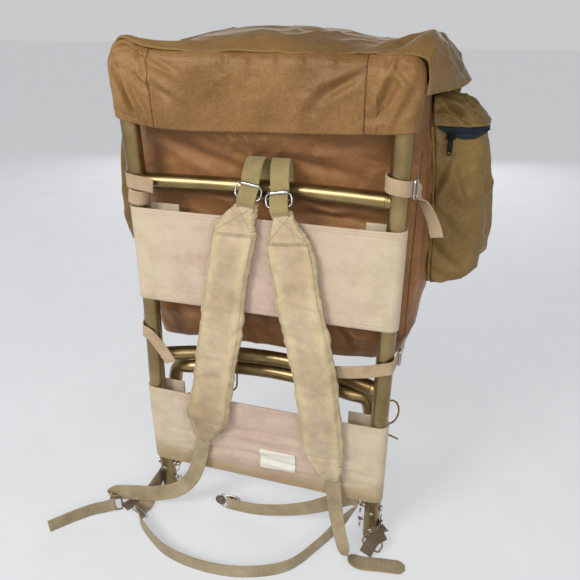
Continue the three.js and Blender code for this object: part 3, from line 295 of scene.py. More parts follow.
# Wire and small hardware: sharp edges are those that turn by more than the crease angle
METAL_LEVELS = 2
WIRE_CREASE = 78
WIRES = {
    # start of the node's name: look, swell in millimetres that makes up for the rounding
    "upper_buckle": ("steel", 0.34),
    "lower_buckle": ("steel_dark", 0.36),
    "tie_buckle": ("steel", 0.3),
    "belt_buckle_frame": ("steel", 0.22),
    "belt_keeper": ("steel", 0.28),
    "split_ring": ("steel", 0.2),
    "clevis_pin": ("steel", 0.3),
    "foot_plug": ("plastic", 0.0),
}
SMALL_CREASE = 40
HARDWARE = {
    # node: body, look, swell
    "belt_buckle_plate": ("buckle_plate", "steel_dark", 0.2),
    "zip_slider_left": ("pack", "plastic", 0.0),
    "zip_slider_right": ("pack", "plastic", 0.0),
    "zip_pull_left": ("pull_left", "plastic", 0.0),
    "zip_pull_right": ("pull_right", "plastic", 0.0),
}
ZIP_LIFT = 1.8
ZIP_CREASE = 60
ZIP_EDGE = 3.0
ZIP_OPENING = [
    # share of the way out from the bag, share of the zip's height
    (0, 0.1), (0.25, 0.6), (0.5, 0.9), (0.75, 0.85), (1, 0.4),
]
ZIP_TEETH_DROP = 0.4
ZIP_TEETH = {"pitch_mm": 1.8, "length_mm": 1.2, "thick_mm": 0.9}
ZIP_FRONT = [(216, 40), (238, 40), (262, 40)]
ZIP_OUTSIDE = [(330, 96), (330, 130), (330, 170)]

# Cloth: solids rounded, then raised and sunk by swells, crinkles, folds and sags
WELD = 2e-5
JOIN_FLAT = math.radians(50)
JOIN_SHAPE = math.radians(70)
SPLIT_ROUNDS = 6
CLOTH_LEVELS = 3
CLOTH_CREASE = 62
CRINKLE_BASE = 0.35
CRINKLE_GAIN = 2.4
CRINKLE_SHARPNESS = 1.6
CLOTHS = {
    # node: centre, reach, longest edge, look, swell height and sizes, crinkle height and sizes, seed
    "bag_body": ((0, 120, 490), (230, 95, 420), 4.6, "nylon_body", 3.0, (90, 60, 60), 2.6, (46, 40, 34), 3),
    "bag_yoke": ((0, 160, 680), (900, 150, 900), 3.2, "nylon", 1.4, (60, 60, 40), 1.2, (40, 40, 26), 5),
    "bag_lid": ((0, 100, 600), (240, 140, 150), 3.8, "nylon_lid", 2.5, (80, 60, 60), 2.4, (50, 44, 40), 7),
    "side_pocket_left": (
        (-205, 131, 530), (60, 60, 150), 3.6, "nylon_olive", 2.2, (40, 40, 60), 1.8, (26, 26, 40), 11,
    ),
    "side_pocket_right": (
        (205, 131, 530), (80, 60, 150), 3.6, "nylon_olive", 2.4, (40, 40, 60), 2.2, (26, 26, 40), 13,
    ),
    "pocket_flap_left": (
        (-205, 131, 600), (60, 70, 90), 3.0, "nylon_olive", 1.8, (30, 30, 26), 2.0, (20, 20, 18), 17,
    ),
    "pocket_flap_right": (
        (205, 131, 600), (80, 70, 90), 3.0, "nylon_olive", 2.0, (30, 30, 26), 2.4, (20, 20, 18), 19,
    ),
    "back_band_upper": (
        (0, 170, 452), (2000, 150, 2000), 4.0, "band_cloth", 0.6, (70, 60, 30), 0.3, (60, 60, 12), 23,
    ),
    "back_band_lower": (
        (0, 170, 156), (2000, 150, 2000), 3.4, "band_cloth", 0.6, (70, 60, 30), 0.5, (70, 60, 10), 29,
    ),
    "blank_patch": (
        (0, 170, 156), (2000, 150, 2000), 2.6, "patch", 0.6, (70, 60, 30), 0.5, (70, 60, 10), 29,
    ),
}
FOLD_REACH = 26
FOLD_GAIN = 1.3
FOLD_SHARPNESS = 1.5
FOLD_ENDS = 0.3
FOLD_TIP = 0.04
HOLLOW_OFFSET = 1.5
HOLLOW_DEPTH = 0.7
FOLDS = {
    # node: rows of start, end, width and height
    "bag_body": [
        (-62, 0, 628, -48, 4, 604, 5, 5), (-40, -2, 628, -18, 4, 600, 5, 6),
        (-15, -3, 628, -6, 2, 606, 5, 5), (11, -3, 630, 20, 4, 606, 5, 5), (60, 0, 628, 74, 8, 604, 6, 5),
        (-158, 20, 612, -80, 24, 566, 9, 4), (-120, 16, 606, -30, 24, 574, 8, -4),
        (40, 12, 612, 128, 22, 600, 9, 4), (30, 18, 596, 120, 26, 578, 8, -4),
        (-130, 31, 536, -30, 31, 530, 8, 4), (46, 31, 542, 104, 31, 524, 7, 5),
        (46, 31, 522, 158, 31, 516, 7, -4), (60, 31, 508, 150, 31, 498, 8, 4),
        (-165, 31, 350, -112, 31, 328, 8, 4), (-50, 31, 352, 4, 31, 332, 9, 4),
        (-110, 31, 346, -40, 31, 322, 8, -5), (98, 31, 362, 124, 31, 318, 8, -6),
        (114, 31, 346, 156, 31, 332, 8, 5), (216, 60, 600, 216, 60, 480, 9, -4),
        (216, 46, 560, 205, 46, 380, 8, 4), (-216, 60, 600, -214, 60, 440, 9, -4),
        (-120, 212, 600, -60, 214, 440, 12, 5), (60, 212, 590, 130, 214, 420, 12, 5),
        (-20, 214, 560, 20, 214, 400, 12, -5),
    ],
    "back_band_lower": [
        (-110, -22, 163, -54, -22, 168, 4, 2.5), (-62, -22, 168, 66, -22, 171, 5, 4.5),
        (60, -22, 168, 150, -22, 152, 4, 2.5), (-170, -22, 150, -84, -22, 148, 4, 2),
        (-40, -22, 146, 60, -22, 149, 4, 2.5), (-120, -22, 132, 20, -22, 136, 4, -2.5),
        (-160, -22, 118, -40, -22, 122, 4, 2), (-20, -22, 124, 90, -22, 120, 4, 2.5),
        (40, -22, 108, 170, -22, 112, 4, 2), (-150, -22, 102, 20, -22, 106, 4, -2),
        (120, -22, 140, 186, -22, 134, 4, -2),
    ],
    "bag_yoke": [
        (-188, -14, 708, -164, -18, 642, 5, 5), (-175, -19, 698, -147, -19, 640, 4, 6),
        (-180, -17, 704, -155, -19, 646, 4, -6), (-152, -20, 696, -137, -19, 680, 4, -5),
        (-180, -17, 719, -157, -19, 720, 3, -4), (-157, -19, 720, -139, -20, 714, 3, -4),
        (-133, -20, 712, -97, -20, 697, 4, 3), (-132, -20, 686, -100, -20, 668, 5, -3),
        (133, -20, 716, 78, -20, 690, 6, 4), (80, -20, 690, 58, -20, 662, 7, 3),
        (128, -20, 706, 84, -20, 678, 6, -3), (160, -20, 720, 143, -19, 668, 5, 4),
        (176, -20, 712, 147, -19, 660, 5, -4), (186, -16, 706, 160, -19, 644, 5, 3),
        (-40, -21, 722, -36, -21, 708, 4, 2), (-8, -21, 722, -4, -21, 706, 4, 2),
        (26, -21, 724, 28, -21, 708, 4, 2), (58, -21, 724, 62, -21, 710, 4, 2),
        (96, -21, 722, 98, -21, 710, 4, 2), (159, -17, 726, 157, -20, 710, 3.5, -6),
        (160, -19, 714, 182, -18, 690, 4, 3), (-150, -18, 730, -148, -20, 706, 3, -4),
        (-158, -17, 730, -144, -20, 700, 4, 4),
    ],
    "bag_lid": [
        (-187, 2, 726, -90, 10, 734, 8, 5), (-196, 20, 712, -190, 120, 706, 9, -4),
        (-150, 30, 734, -60, 120, 746, 10, 4), (150, 0, 730, 190, 60, 742, 7, -6),
        (182, -2, 742, 196, 70, 742, 8, 4), (205, 10, 730, 236, 60, 690, 6, 4),
        (214, 60, 722, 238, 110, 690, 6, -4), (190, 80, 742, 232, 160, 700, 8, 4),
        (40, 20, 744, 120, 90, 740, 10, 3), (-60, 203, 724, -40, 218, 640, 10, 4),
        (70, 203, 724, 90, 218, 640, 10, 4),
    ],
    "side_pocket_right": [
        (236, 58, 602, 216, 56, 548, 6, -5), (240, 58, 590, 262, 60, 540, 8, 4),
        (214, 56, 520, 262, 62, 470, 9, 4), (220, 56, 480, 268, 70, 440, 8, -4),
        (284, 90, 590, 276, 120, 500, 9, -4), (288, 120, 560, 280, 150, 430, 9, 4),
        (226, 54, 430, 250, 70, 414, 6, 4), (286, 100, 470, 270, 160, 430, 8, -4),
    ],
    "side_pocket_left": [
        (-250, 70, 600, -240, 100, 480, 8, 4), (-252, 120, 580, -246, 150, 440, 9, -4),
        (-240, 60, 520, -250, 110, 440, 8, 3),
    ],
    "pocket_flap_right": [
        (214, 72, 672, 252, 72, 650, 5, -6), (216, 70, 656, 244, 70, 646, 4, 5),
        (226, 90, 676, 266, 84, 654, 5, 6), (250, 80, 666, 276, 104, 648, 5, -5),
        (230, 130, 676, 272, 150, 652, 6, 5), (222, 110, 678, 262, 112, 664, 5, -5),
    ],
}
FOLDS["blank_patch"] = FOLDS["back_band_lower"]
SAGS = {
    # node: rows of centre, reach along each axis and shift
    "bag_body": [
        ((-192, 60, 296), (62, 62, 62), (-9, -2, -13)), ((-194, 50, 294), (26, 60, 22), (-9, 0, -6)),
        ((200, 60, 330), (60, 60, 60), (4, 0, 3)), ((0, 12, 622), (120, 40, 26), (0, -15, 0)),
    ],
    "bag_lid": [
        ((-10, -12, 728), (300, 12, 14), (0, -4, -4.5)), ((-194, -2, 720), (14, 20, 26), (11, 4, -9)),
    ],
    "bag_yoke": [((-168, -8, 726), (22, 30, 14), (0, 2, 11)), ((196, 0, 700), (12, 30, 40), (4, 0, 0))],
}

# Shoulder pads: sewn flat at both ends, blown up a little as cloth over their foam
PAD_THICK = 13
PAD_STEP = 4.0
PAD_SIDES = 44
PAD_SIDE_POWER = 0.7
PAD_FACE_POWER = 0.55
PAD_CAP = 3.0
PAD_PRESSURE = 4.0
PAD_FRAMES = 16
PAD_EDGES = {
    # left edge across and height, right edge across and height, front depth, fill, from the top down
    "left": [
        (-20.5, 549, 4, 547, -27, 0.45), (-41, 534, 3.4, 534, -26, 0.45), (-60.4, 516, 3, 518, -25.5, 0.5),
        (-66, 500, 4, 500.4, -25, 0.7), (-73, 461.6, -2.8, 470, -25.3, 1),
        (-82.7, 410, -12.9, 419.6, -26.3, 1), (-92.9, 344.7, -18.7, 357, -32, 1),
        (-99.7, 300, -26.6, 313.5, -36, 1), (-107.7, 254, -33.6, 269, -38, 1),
        (-119.5, 199, -46, 193, -39, 0.95), (-112.5, 174, -66, 167, -38.5, 0.6),
        (-105, 152, -82.5, 145, -38, 0.45),
    ],
    "right": [
        (24.7, 542, 50.5, 543, -28, 0.45), (22, 525, 60, 527, -27, 0.45), (16, 508, 70, 512, -26, 0.5),
        (11, 492, 78.6, 498, -25.5, 0.7), (14, 465.5, 85.5, 474, -26, 1), (23, 425, 91, 434.6, -27, 1),
        (27.4, 393.7, 98.5, 404.6, -30, 1), (40, 347.5, 110.3, 359.8, -34, 1),
        (53, 289, 120.7, 313, -38, 1), (60.4, 235, 127.4, 261, -39, 1), (69, 166, 136, 175, -38.5, 0.95),
        (86, 144, 134, 150, -38, 0.6), (102, 122, 130.4, 126, -38, 0.45),
    ],
}
# Rows of a pad's seams: the top one counted from the top, the low one from the end
PAD_TOP_SEAM = 3
PAD_LOW_SEAM = 2
# Folds of a pad, each its width and height
PAD_SEAM = (3.5, -3.0)
PAD_TUCK = (3, 1.0)
PAD_TUCK_ROWS = 0.22
PAD_TUCK_ENDS = (-0.3, 0.4)
PAD_CHANNELS = (-0.27, 0.27)
PAD_CHANNEL = (4, -1.3)
PAD_CREASE = (4, -3.4)
PAD_CREASES = {
    # side: rows of start and end, each a place along as a share of the rows and a place across
    "left": [
        (0.48, -0.5, 0.5, 0.1), (0.5, -0.42, 0.56, -0.05), (0.53, 0.5, 0.58, 0.2), (0.62, -0.3, 0.64, 0.3),
        (0.7, -0.5, 0.68, 0.2), (0.78, 0.5, 0.76, 0.0),
    ],
    "right": [
        (0.46, -0.1, 0.5, 0.5), (0.55, -0.5, 0.57, 0.1), (0.62, 0.5, 0.66, 0.1), (0.7, -0.3, 0.71, 0.4),
        (0.76, 0.5, 0.79, 0.15), (0.84, -0.5, 0.82, 0.0),
    ],
}
# Unevenness of a pad: height, size along each axis, seed, and the share that counts as level
PAD_CRINKLE = (0.8, (30, 30, 18), 41, 0.3)
PAD_SWELL = (0.6, (24, 24, 34), 43)
PAD_PUCKER = (2.8, (40, 40, 8), 47, 0.4)
PAD_PUCKER_POWER = 3
PAD_FACING = 0.2
PAD_LEVELS = 1

# Seams, stitches and small trim: lines of place across and height, dropped on the cloth from in front
AHEAD = -40
CAST_BACK = 0.12
CAST_REACH = 0.3
SEAM_R = 0.7
SEAM_LIFT = 0.1
SEAM_SIDES = 8
STITCH_LIFT = 0.25
TAPE_LIFT = 0.5
TAPE_THICK = 0.8
TAPE_STEP = 8.0
YOKE_SEAMS = {
    "left": [(-134, 726), (-135, 680), (-134, 634)],
    "right": [(135, 726), (134.5, 640)],
}
YOKE_TAPE = [(142.5, 725), (142.5, 680), (142.5, 641)]
YOKE_TAPE_WIDTH = 13
YOKE_HEM = [
    # a little above the yoke's lower edge
    (-190, 648.5), (-137, 636.5), (0, 639.5), (131, 643.5), (190, 648),
]
YOKE_HEM_RISES = (0, 6)
YOKE_TOP_STITCHES = (719, 713)
YOKE_TOP_PLACES = (-130, 0, 190)
YOKE_SIDE_STITCHES = (-130, 138.5, 146.5)
YOKE_SIDE_HEIGHTS = (718, 642)
LID_STITCHES = [(-120, 730), (0, 731), (130, 732)]
BAG_SEAM_X = 198
BAG_SEAM_HEIGHTS = (610, 540, 460, 380, 320)
BAND_STITCHES = {
    # band: heights of its rows of stitches
    "upper": (385, 389, 515, 519),
    "lower": (88, 92, 221, 225),
}
BAND_STITCH_PLACES = (-188, 0, 188)
PAD_STITCH_SHARE = 0.4
PAD_STITCH_INSET = 0.3
PAD_STITCH_TIP = 0.2
PAD_STITCH_ENDS = (-0.42, 0, 0.42)
PAD_STITCH_THICK = 0.55
PIPING_R = 3.0
PIPING_SIDES = 12
PIPING_HEIGHTS = (424, 662)
PIPING_ROWS = 14
PIPING_POINTS = 70
PIPING_IN = 2.4
PIPING_BACK = 0.5
PIPING_LEVEL = 4
POCKET_FRONT = 120


def metres(points):
    """Points from the feet's millimetres to metres in the model's frame."""
    return (np.asarray(points, float) + FEET) * MM


def millimetres(places):
    """Places in metres back to the feet's millimetres."""
    return np.asarray(places, float) / MM - FEET


def unit(vectors):
    return vectors / np.linalg.norm(vectors, axis=-1, keepdims=True)


def run_along(points):
    """Distance of each point from the first, along the line through them."""
    return np.concatenate([[0], np.cumsum(np.linalg.norm(np.diff(points, axis=0), axis=1))])


def around(sides):
    """Angles of the points of a ring."""
    return np.linspace(0, 2 * math.pi, sides, endpoint=False)


def squared(waves, power):
    """Waves of -1 to 1, flattened toward a square."""
    return np.sign(waves) * np.abs(waves) ** power


def curve_through(rows, count):
    """Points of a centripetal Catmull-Rom curve, shared evenly between its rows."""
    rows = np.asarray(rows, float)
    longer = np.vstack([2 * rows[0] - rows[1], rows, 2 * rows[-1] - rows[-2]])
    found = []
    for place in np.linspace(0, len(rows) - 1, count):
        i = min(int(place), len(rows) - 2)
        a, b, c, d = longer[i : i + 4]
        before, here, after = [max(np.linalg.norm(q - p), 1e-6) ** 0.5 for p, q in ((a, b), (b, c), (c, d))]
        leave = ((b - a) / before - (c - a) / (before + here) + (c - b) / here) * here
        reach = ((c - b) / here - (d - b) / (here + after) + (d - c) / after) * here
        t = place - i
        square = 3 * (c - b) - 2 * leave - reach
        cube = 2 * (b - c) + leave + reach
        found.append(b + leave * t + square * t**2 + cube * t**3)
    return np.array(found)


def upright_depth(height):
    """Depth of the uprights' middle line at a height."""
    heights, depths = np.array(UPRIGHT_SIDE, float).T
    wide_heights, wide_depths = np.pad(heights, 1, "edge"), np.pad(depths, 1, "edge")
    slopes = (wide_depths[2:] - wide_depths[:-2]) / (wide_heights[2:] - wide_heights[:-2])
    i = min(max(int(np.searchsorted(heights, height, side="right")) - 1, 0), len(heights) - 2)
    step = heights[i + 1] - heights[i]
    t = min(max((height - heights[i]) / step, 0), 1)
    rise = t * t * (3 - 2 * t)
    lean = slopes[i] * t * (1 - t) ** 2 - slopes[i + 1] * t * t * (1 - t)
    return depths[i] * (1 - rise) + depths[i + 1] * rise + step * lean


def bar_point(height, bow, x):
    """A point of a bar that bows to the rear between the uprights."""
    return (x, upright_depth(height) + bow * (1 - (x / FRAME_HALF) ** 2), height)


# Materials
def srgb(red, green, blue):
    """Linear colour of an 8-bit screen colour."""
    shares = np.array((red, green, blue)) / 255
    linear = np.where(shares <= 0.04045, shares / 12.92, ((shares + 0.055) / 1.055) ** 2.4)
    return (*linear, 1.0)


def set_stops(ramp, stops):
    """Give a colour ramp its stops of place and linear colour."""
    elements = ramp.color_ramp.elements
    while len(elements) < len(stops):
        elements.new(0.5)
    for element, (place, colour) in zip(elements, stops):
        element.position = place
        element.color = colour


def wave_scale(pitch_mm):
    """Scale of a wave texture whose bands repeat at this distance."""
    return 2 * math.pi / (20 * pitch_mm * MM)


class Look:
    """One procedural material, built node by node on a Principled shader."""

    def __init__(self, name, **surface):
        self.material = bpy.data.materials.new(name)
        self.material.use_nodes = True
        self.tree = self.material.node_tree
        self.shader = self.tree.nodes["Principled BSDF"]
        for socket, value in surface.items():
            self.shader.inputs[socket.replace("_", " ")].default_value = value

    def add(self, kind, settings=None, **inputs):
        node = self.tree.nodes.new("ShaderNode" + kind)
        for key, value in (settings or {}).items():
            setattr(node, key, value)
        for key, value in inputs.items():
            self.join(value, node.inputs[key])
        return node

    def join(self, value, socket):
        if isinstance(value, bpy.types.NodeSocket):
            self.tree.links.new(value, socket)
        else:
            socket.default_value = value

    def where(self, kind, stretch=(1, 1, 1)):
        found = self.add("TexCoord").outputs[kind]
        return self.add("Mapping", Vector=found, Scale=stretch).outputs["Vector"]

    def axis(self, where, name):
        return self.add("SeparateXYZ", Vector=where).outputs[name]

    def absolute(self, value):
        return self.add("Math", {"operation": "ABSOLUTE"}, Value=value).outputs[0]

    def noise(self, where, scale, detail=4.0, roughness=0.55):
        inputs = {"Vector": where, "Scale": scale, "Detail": detail, "Roughness": roughness}
        return self.add("TexNoise", **inputs).outputs["Fac"]

    def wave(self, where, direction, pitch_mm, distortion=0.0):
        inputs = {"Vector": where, "Scale": wave_scale(pitch_mm), "Distortion": distortion}
        return self.add("TexWave", {"bands_direction": direction}, **inputs).outputs["Fac"]

    def weave(self, where, pitch_mm):
        """A square weave: level and upright yarns alike."""
        return self.sum([(self.wave(where, direction, pitch_mm), 0.5) for direction in "XZ"])

    def sum(self, terms):
        """Sum of values, each times its weight."""
        total = None
        for value, weight in terms:
            node = self.add("Math", {"operation": "MULTIPLY"})
            self.join(value, node.inputs[0])
            node.inputs[1].default_value = weight
            if total is not None:
                plus = self.add("Math", {"operation": "ADD"})
                self.join(total, plus.inputs[0])
                self.join(node.outputs[0], plus.inputs[1])
                node = plus
            total = node.outputs[0]
        return total

    def ramp(self, value, *stops):
        """Colours along a value: stops of place and screen colour."""
        node = self.add("ValToRGB", Fac=value)
        set_stops(node, [(place, srgb(*colour)) for place, colour in stops])
        return node.outputs["Color"]

    def tint(self, tone, share, value, *stops, mode="MIX"):
        """A share of a ramp of colours, laid over a tone."""
        node = self.add("Mix", {"data_type": "RGBA", "blend_type": mode})
        self.join(share, node.inputs[0])
        self.join(tone, node.inputs[6])
        self.join(self.ramp(value, *stops), node.inputs[7])
        return node.outputs[2]

    def finish(self, colour, height, depth_mm, strength, roughness=None):
        self.join(colour, self.shader.inputs["Base Color"])
        if roughness is not None:
            self.join(roughness, self.shader.inputs["Roughness"])
        bump = self.add("Bump", Strength=strength, Distance=depth_mm * MM, Height=height)
        self.join(bump.outputs["Normal"], self.shader.inputs["Normal"])
        return self.material


def cloth_surface(name, rough, gloss, sheen, sheen_rough):
    surface = {"Roughness": rough, "Specular_IOR_Level": gloss}
    return Look(name, Sheen_Weight=sheen, Sheen_Roughness=sheen_rough, **surface)


def nylon_look(name, dark, middle, light):
    """Coated plain-weave nylon: uneven fading, slubs in both yarns, soft crinkles and a square weave."""
    look = cloth_surface(name, 0.5, 0.32, 0.08, 0.35)
    look.shader.inputs["Specular Tint"].default_value = NYLON_SHINE
    place = look.where("Object")
    fade = look.noise(place, 8.0, 6.0, 0.62)
    tone = look.ramp(fade, (0.3, dark), (0.5, middle), (0.7, light))
    yarns = look.sum([(look.noise(look.where("Object", repeats), 1.0, 2.0), 0.5) for repeats in SLUBS])
    tone = look.tint(tone, 0.26, yarns, (0.4, dark), (0.6, light))
    crinkle = look.noise(place, 52.0, 3.0, 0.5)
    fine = look.noise(place, 170.0, 2.0, 0.5)
    height = look.sum([(crinkle, 0.5), (fine, 0.12), (yarns, 0.1), (look.weave(place, 1.3), 0.07)])
    rough = look.sum([(fade, 0.2), (yarns, 0.14), (1.0, 0.32)])
    return look.finish(tone, height, 2.2, 0.5, rough)


def band_look():
    """Stiff ribbed band cloth: cream at the uprights, a mauve blush in the middle, soiled ribs."""
    look = cloth_surface("band_cloth", 0.85, 0.2, 0.25, 0.5)
    place = look.where("Object")
    blotch = look.noise(place, 9.0, 5.0, 0.6)
    edge = look.sum([(look.absolute(look.axis(place, "X")), 4.2), (blotch, 0.5)])
    tone = look.ramp(edge, (0.34, (170, 146, 134)), (0.66, (174, 154, 135)), (0.95, (178, 162, 136)))
    ribs = look.noise(look.where("Object", (14, 14, 420)), 1.0, 3.0)
    tone = look.tint(tone, 0.07, ribs, (0.34, (146, 124, 107)), (0.62, (200, 186, 168)))
    soil = look.noise(place, 26.0, 6.0, 0.7)
    tone = look.tint(tone, 0.2, soil, (0.3, (128, 106, 82)), (0.55, (200, 188, 170)))
    # darker towards the bottom of the bands
    low_band_darkening = look.sum([(look.axis(place, "Z"), 9.0), (blotch, 0.4), (1.0, 0.5)])
    tone = look.tint(tone, 1.0, low_band_darkening, (0.1, (214, 204, 176)), (0.45, WHITE), mode="MULTIPLY")
    height = look.sum([(ribs, 0.4), (look.weave(place, 2.2), 0.8), (soil, 0.3)])
    return look.finish(tone, height, 0.5, 0.6)


def pad_look():
    """Padded strap cloth: pale khaki, greenish and grey in patches, soiled, rubbed along the middle, darker
    and greyer towards the bottom and the left, crinkled.
    """
    look = cloth_surface("pad_cloth", 0.72, 0.25, 0.2, 0.5)
    place = look.where("Object")
    blotch = look.noise(place, 11.0, 6.0, 0.62)
    dark, middle = (0.25, (142, 126, 99)), (0.45, (170, 152, 122))
    tone = look.ramp(blotch, dark, middle, (0.6, (184, 168, 138)), (0.8, (166, 156, 134)))
    soil = look.noise(place, 34.0, 6.0, 0.7)
    tone = look.tint(tone, 0.34, soil, (0.3, (112, 98, 72)), (0.6, (188, 172, 140)))
    aside = look.absolute(look.axis(look.where("UV"), "X"))
    channel = look.sum([(aside, 2.0), (blotch, 0.8)])
    tone = look.tint(tone, 1.0, channel, (0.76, (243, 239, 243)), (1.0, (255, 255, 249)), mode="MULTIPLY")
    across, upward = look.axis(place, "X"), look.axis(place, "Z")
    # darker and greyer towards the bottom and the left side of the pads
    low_left_darkening = look.sum([(upward, 2.4), (across, 4.0), (blotch, 0.3), (1.0, 0.5)])
    tone = look.tint(tone, 1.0, low_left_darkening, (0.25, (226, 220, 209)), (0.8, WHITE), mode="MULTIPLY")
    crinkle = look.noise(look.where("Object", (1, 1, 1.6)), 60.0, 4.0, 0.55)
    height = look.sum([(crinkle, 1.0), (soil, 0.3), (look.weave(place, 1.0), 0.1)])
    return look.finish(tone, height, 1.4, 0.5)


def webbing_look(name, dark, middle, light, rib_mm):
    """Woven webbing in strap coordinates: cross ribs, a plain selvage and rubbed patches."""
    look = cloth_surface(name, 0.78, 0.25, 0.2, 0.45)
    place = look.where("UV")
    rub = look.noise(look.where("Object"), 24.0, 5.0, 0.6)
    tone = look.ramp(rub, (0.28, dark), (0.5, middle), (0.74, light))
    ribs = look.wave(place, "Y", rib_mm, 0.6)
    yarns = look.wave(place, "X", 1.4, 0.4)
    tone = look.tint(tone, 0.35, ribs, (0.2, dark), (0.8, light))
    fuzz = look.noise(place, 900.0, 2.0)
    height = look.sum([(ribs, 0.7), (yarns, 0.3), (fuzz, 0.3)])
    return look.finish(tone, height, 0.5, 0.8)


def metal_look(name, dark, middle, light, rough, scratch_mm, coat):
    """Worn metal: drawn streaks, dulled patches and small scratches."""
    look = Look(name, Metallic=1.0, Specular_IOR_Level=0.5, Coat_Weight=coat, Coat_Roughness=0.24)
    place = look.where("Object")
    patch = look.noise(place, 14.0, 6.0, 0.6)
    tone = look.ramp(patch, (0.3, dark), (0.52, middle), (0.78, light))
    streak = look.noise(look.where("Object", (260, 260, 9)), 1.0, 3.0)
    height = look.sum([(streak, 0.5), (look.noise(place, 400.0, 2.0), 0.3)])
    spread = look.sum([(patch, 0.16), (streak, 0.1), (1.0, rough)])
    return look.finish(tone, height, scratch_mm, 0.3, spread)


def plain_look(name, dark, light, rough, grain, depth_mm, gloss):
    """Moulded, woven or painted surface with a fine grain."""
    look = Look(name, Roughness=rough, Specular_IOR_Level=gloss)
    place = look.where("Object")
    tone = look.ramp(look.noise(place, grain / 8, 4.0), (0.3, dark), (0.7, light))
    return look.finish(tone, look.noise(place, grain, 3.0), depth_mm, 0.4)


def floor_look():
    """Pale floor that glows a little, so that it stays even into the distance."""
    glow = {"Emission_Strength": FLOOR_GLOW, "Emission_Color": FLOOR_GLOW_COLOUR}
    look = Look("floor", Roughness=0.75, Specular_IOR_Level=0.2, **glow)
    grain = look.noise(look.where("Object"), 8.0, 4.0)
    tone = look.ramp(grain, (0.3, (146, 149, 152)), (0.7, (153, 155, 158)))
    return look.finish(tone, grain, 0.2, 0.2)


def make_looks():
    looks = {"floor": floor_look(), "band_cloth": band_look(), "pad_cloth": pad_look()}
    makers = ((nylon_look, NYLONS), (webbing_look, WEBBINGS), (metal_look, METALS), (plain_look, PLAINS))
    for maker, table in makers:
        for name, row in table.items():
            looks[name] = maker(name, *row)
    return looks


LOOKS = make_looks()


# Camera, floor and light
def aim(thing, way):
    """Turn a camera or a lamp to look along a direction."""
    thing.rotation_euler = Vector(way).to_track_quat("-Z", "Y").to_euler()


def make_camera(scene):
    camera = bpy.data.objects.new("camera", bpy.data.cameras.new("camera"))
    camera.data.lens = CAMERA_LENS
    camera.data.sensor_width = CAMERA_SENSOR
    yaw = math.radians(CAMERA_YAW)
    pitch = math.radians(CAMERA_PITCH)
    camera.location = metres(CAMERA_AT)
    aim(camera, (-math.sin(yaw) * math.cos(pitch), math.cos(yaw) * math.cos(pitch), -math.sin(pitch)))
    scene.collection.objects.link(camera)
    scene.camera = camera
    scene.view_settings.view_transform = "Standard"


def make_lights(scene):
    for name, (at, target, width, height, watts, colour) in LIGHTS.items():
        light = bpy.data.lights.new(name, "AREA")
        light.shape = "RECTANGLE"
        light.size = width
        light.size_y = height
        light.energy = watts
        light.color = colour
        lamp = bpy.data.objects.new(name, light)
        lamp.location = metres(at)
        aim(lamp, metres(target) - metres(at))
        scene.collection.objects.link(lamp)


def make_sky(scene):
    world = bpy.data.worlds.new("studio")
    world.use_nodes = True
    nodes, links = world.node_tree.nodes, world.node_tree.links
    upward = nodes.new("ShaderNodeSeparateXYZ")
    links.new(nodes.new("ShaderNodeTexCoord").outputs["Generated"], upward.inputs[0])
    ramp = nodes.new("ShaderNodeValToRGB")
    links.new(upward.outputs["Z"], ramp.inputs[0])
    set_stops(ramp, [(place, (*(grey * SKY_TINT), 1)) for place, grey in SKY])
    links.new(ramp.outputs[0], nodes["Background"].inputs["Color"])
    nodes["Background"].inputs["Strength"].default_value = WORLD_STRENGTH
    scene.world = world


def make_floor(scene):
    low = FEET[2] * MM
    corners = [(x * FLOOR_HALF, y * FLOOR_HALF, low) for x, y in ((-1, -1), (1, -1), (1, 1), (-1, 1))]
    mesh = bpy.data.meshes.new("floor")
    mesh.from_pydata(corners, [], [(0, 1, 2, 3)])
    floor = bpy.data.objects.new("floor", mesh)
    floor.data.materials.append(LOOKS["floor"])
    scene.collection.objects.link(floor)


# Pieces
def new_piece(name, vertices, faces, look, node=None, strap_places=None):
    """A smooth mesh piece that stands for a node where one is named."""
    mesh = bpy.data.meshes.new(name)
    mesh.from_pydata([tuple(v) for v in vertices], [], [tuple(f) for f in faces])
    if strap_places is not None:
        layer = mesh.uv_layers.new(name="strap")
        for loop in mesh.loops:
            layer.data[loop.index].uv = strap_places[loop.vertex_index]
    return add_piece(name, mesh, look, node=node)


def add_piece(name, mesh, look, body="pack", node=None):
    mesh.materials.clear()
    mesh.materials.append(LOOKS[look])
    mesh.shade_smooth()
    piece = bpy.data.objects.new(name, mesh)
    bpy.context.scene.collection.objects.link(piece)
    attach(piece, body)
    if node:
        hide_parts(node)
    return piece


def ring_faces(rings, sides):
    """Faces between rings of points that are stored one after the other, closed at both ends."""
    faces = []
    for i in range(rings - 1):
        for j in range(sides):
            k = (j + 1) % sides
            faces.append((i * sides + j, i * sides + k, (i + 1) * sides + k, (i + 1) * sides + j))
    faces.append(tuple(reversed(range(sides))))
    faces.append(tuple(range((rings - 1) * sides, rings * sides)))
    return faces


def frames_along(points):
    """Two directions across a line of points that turn as little as they can."""
    tangents = unit(np.gradient(points, axis=0))
    start = np.cross(tangents[0], (0.0, 0.0, 1.0))
    if np.linalg.norm(start) < NEARLY_UPRIGHT:
        start = np.cross(tangents[0], (0.0, 1.0, 0.0))
    first = [unit(start)]
    for tangent in tangents[1:]:
        first.append(unit(first[-1] - tangent * (first[-1] @ tangent)))
    return np.array(first), np.cross(tangents, first)


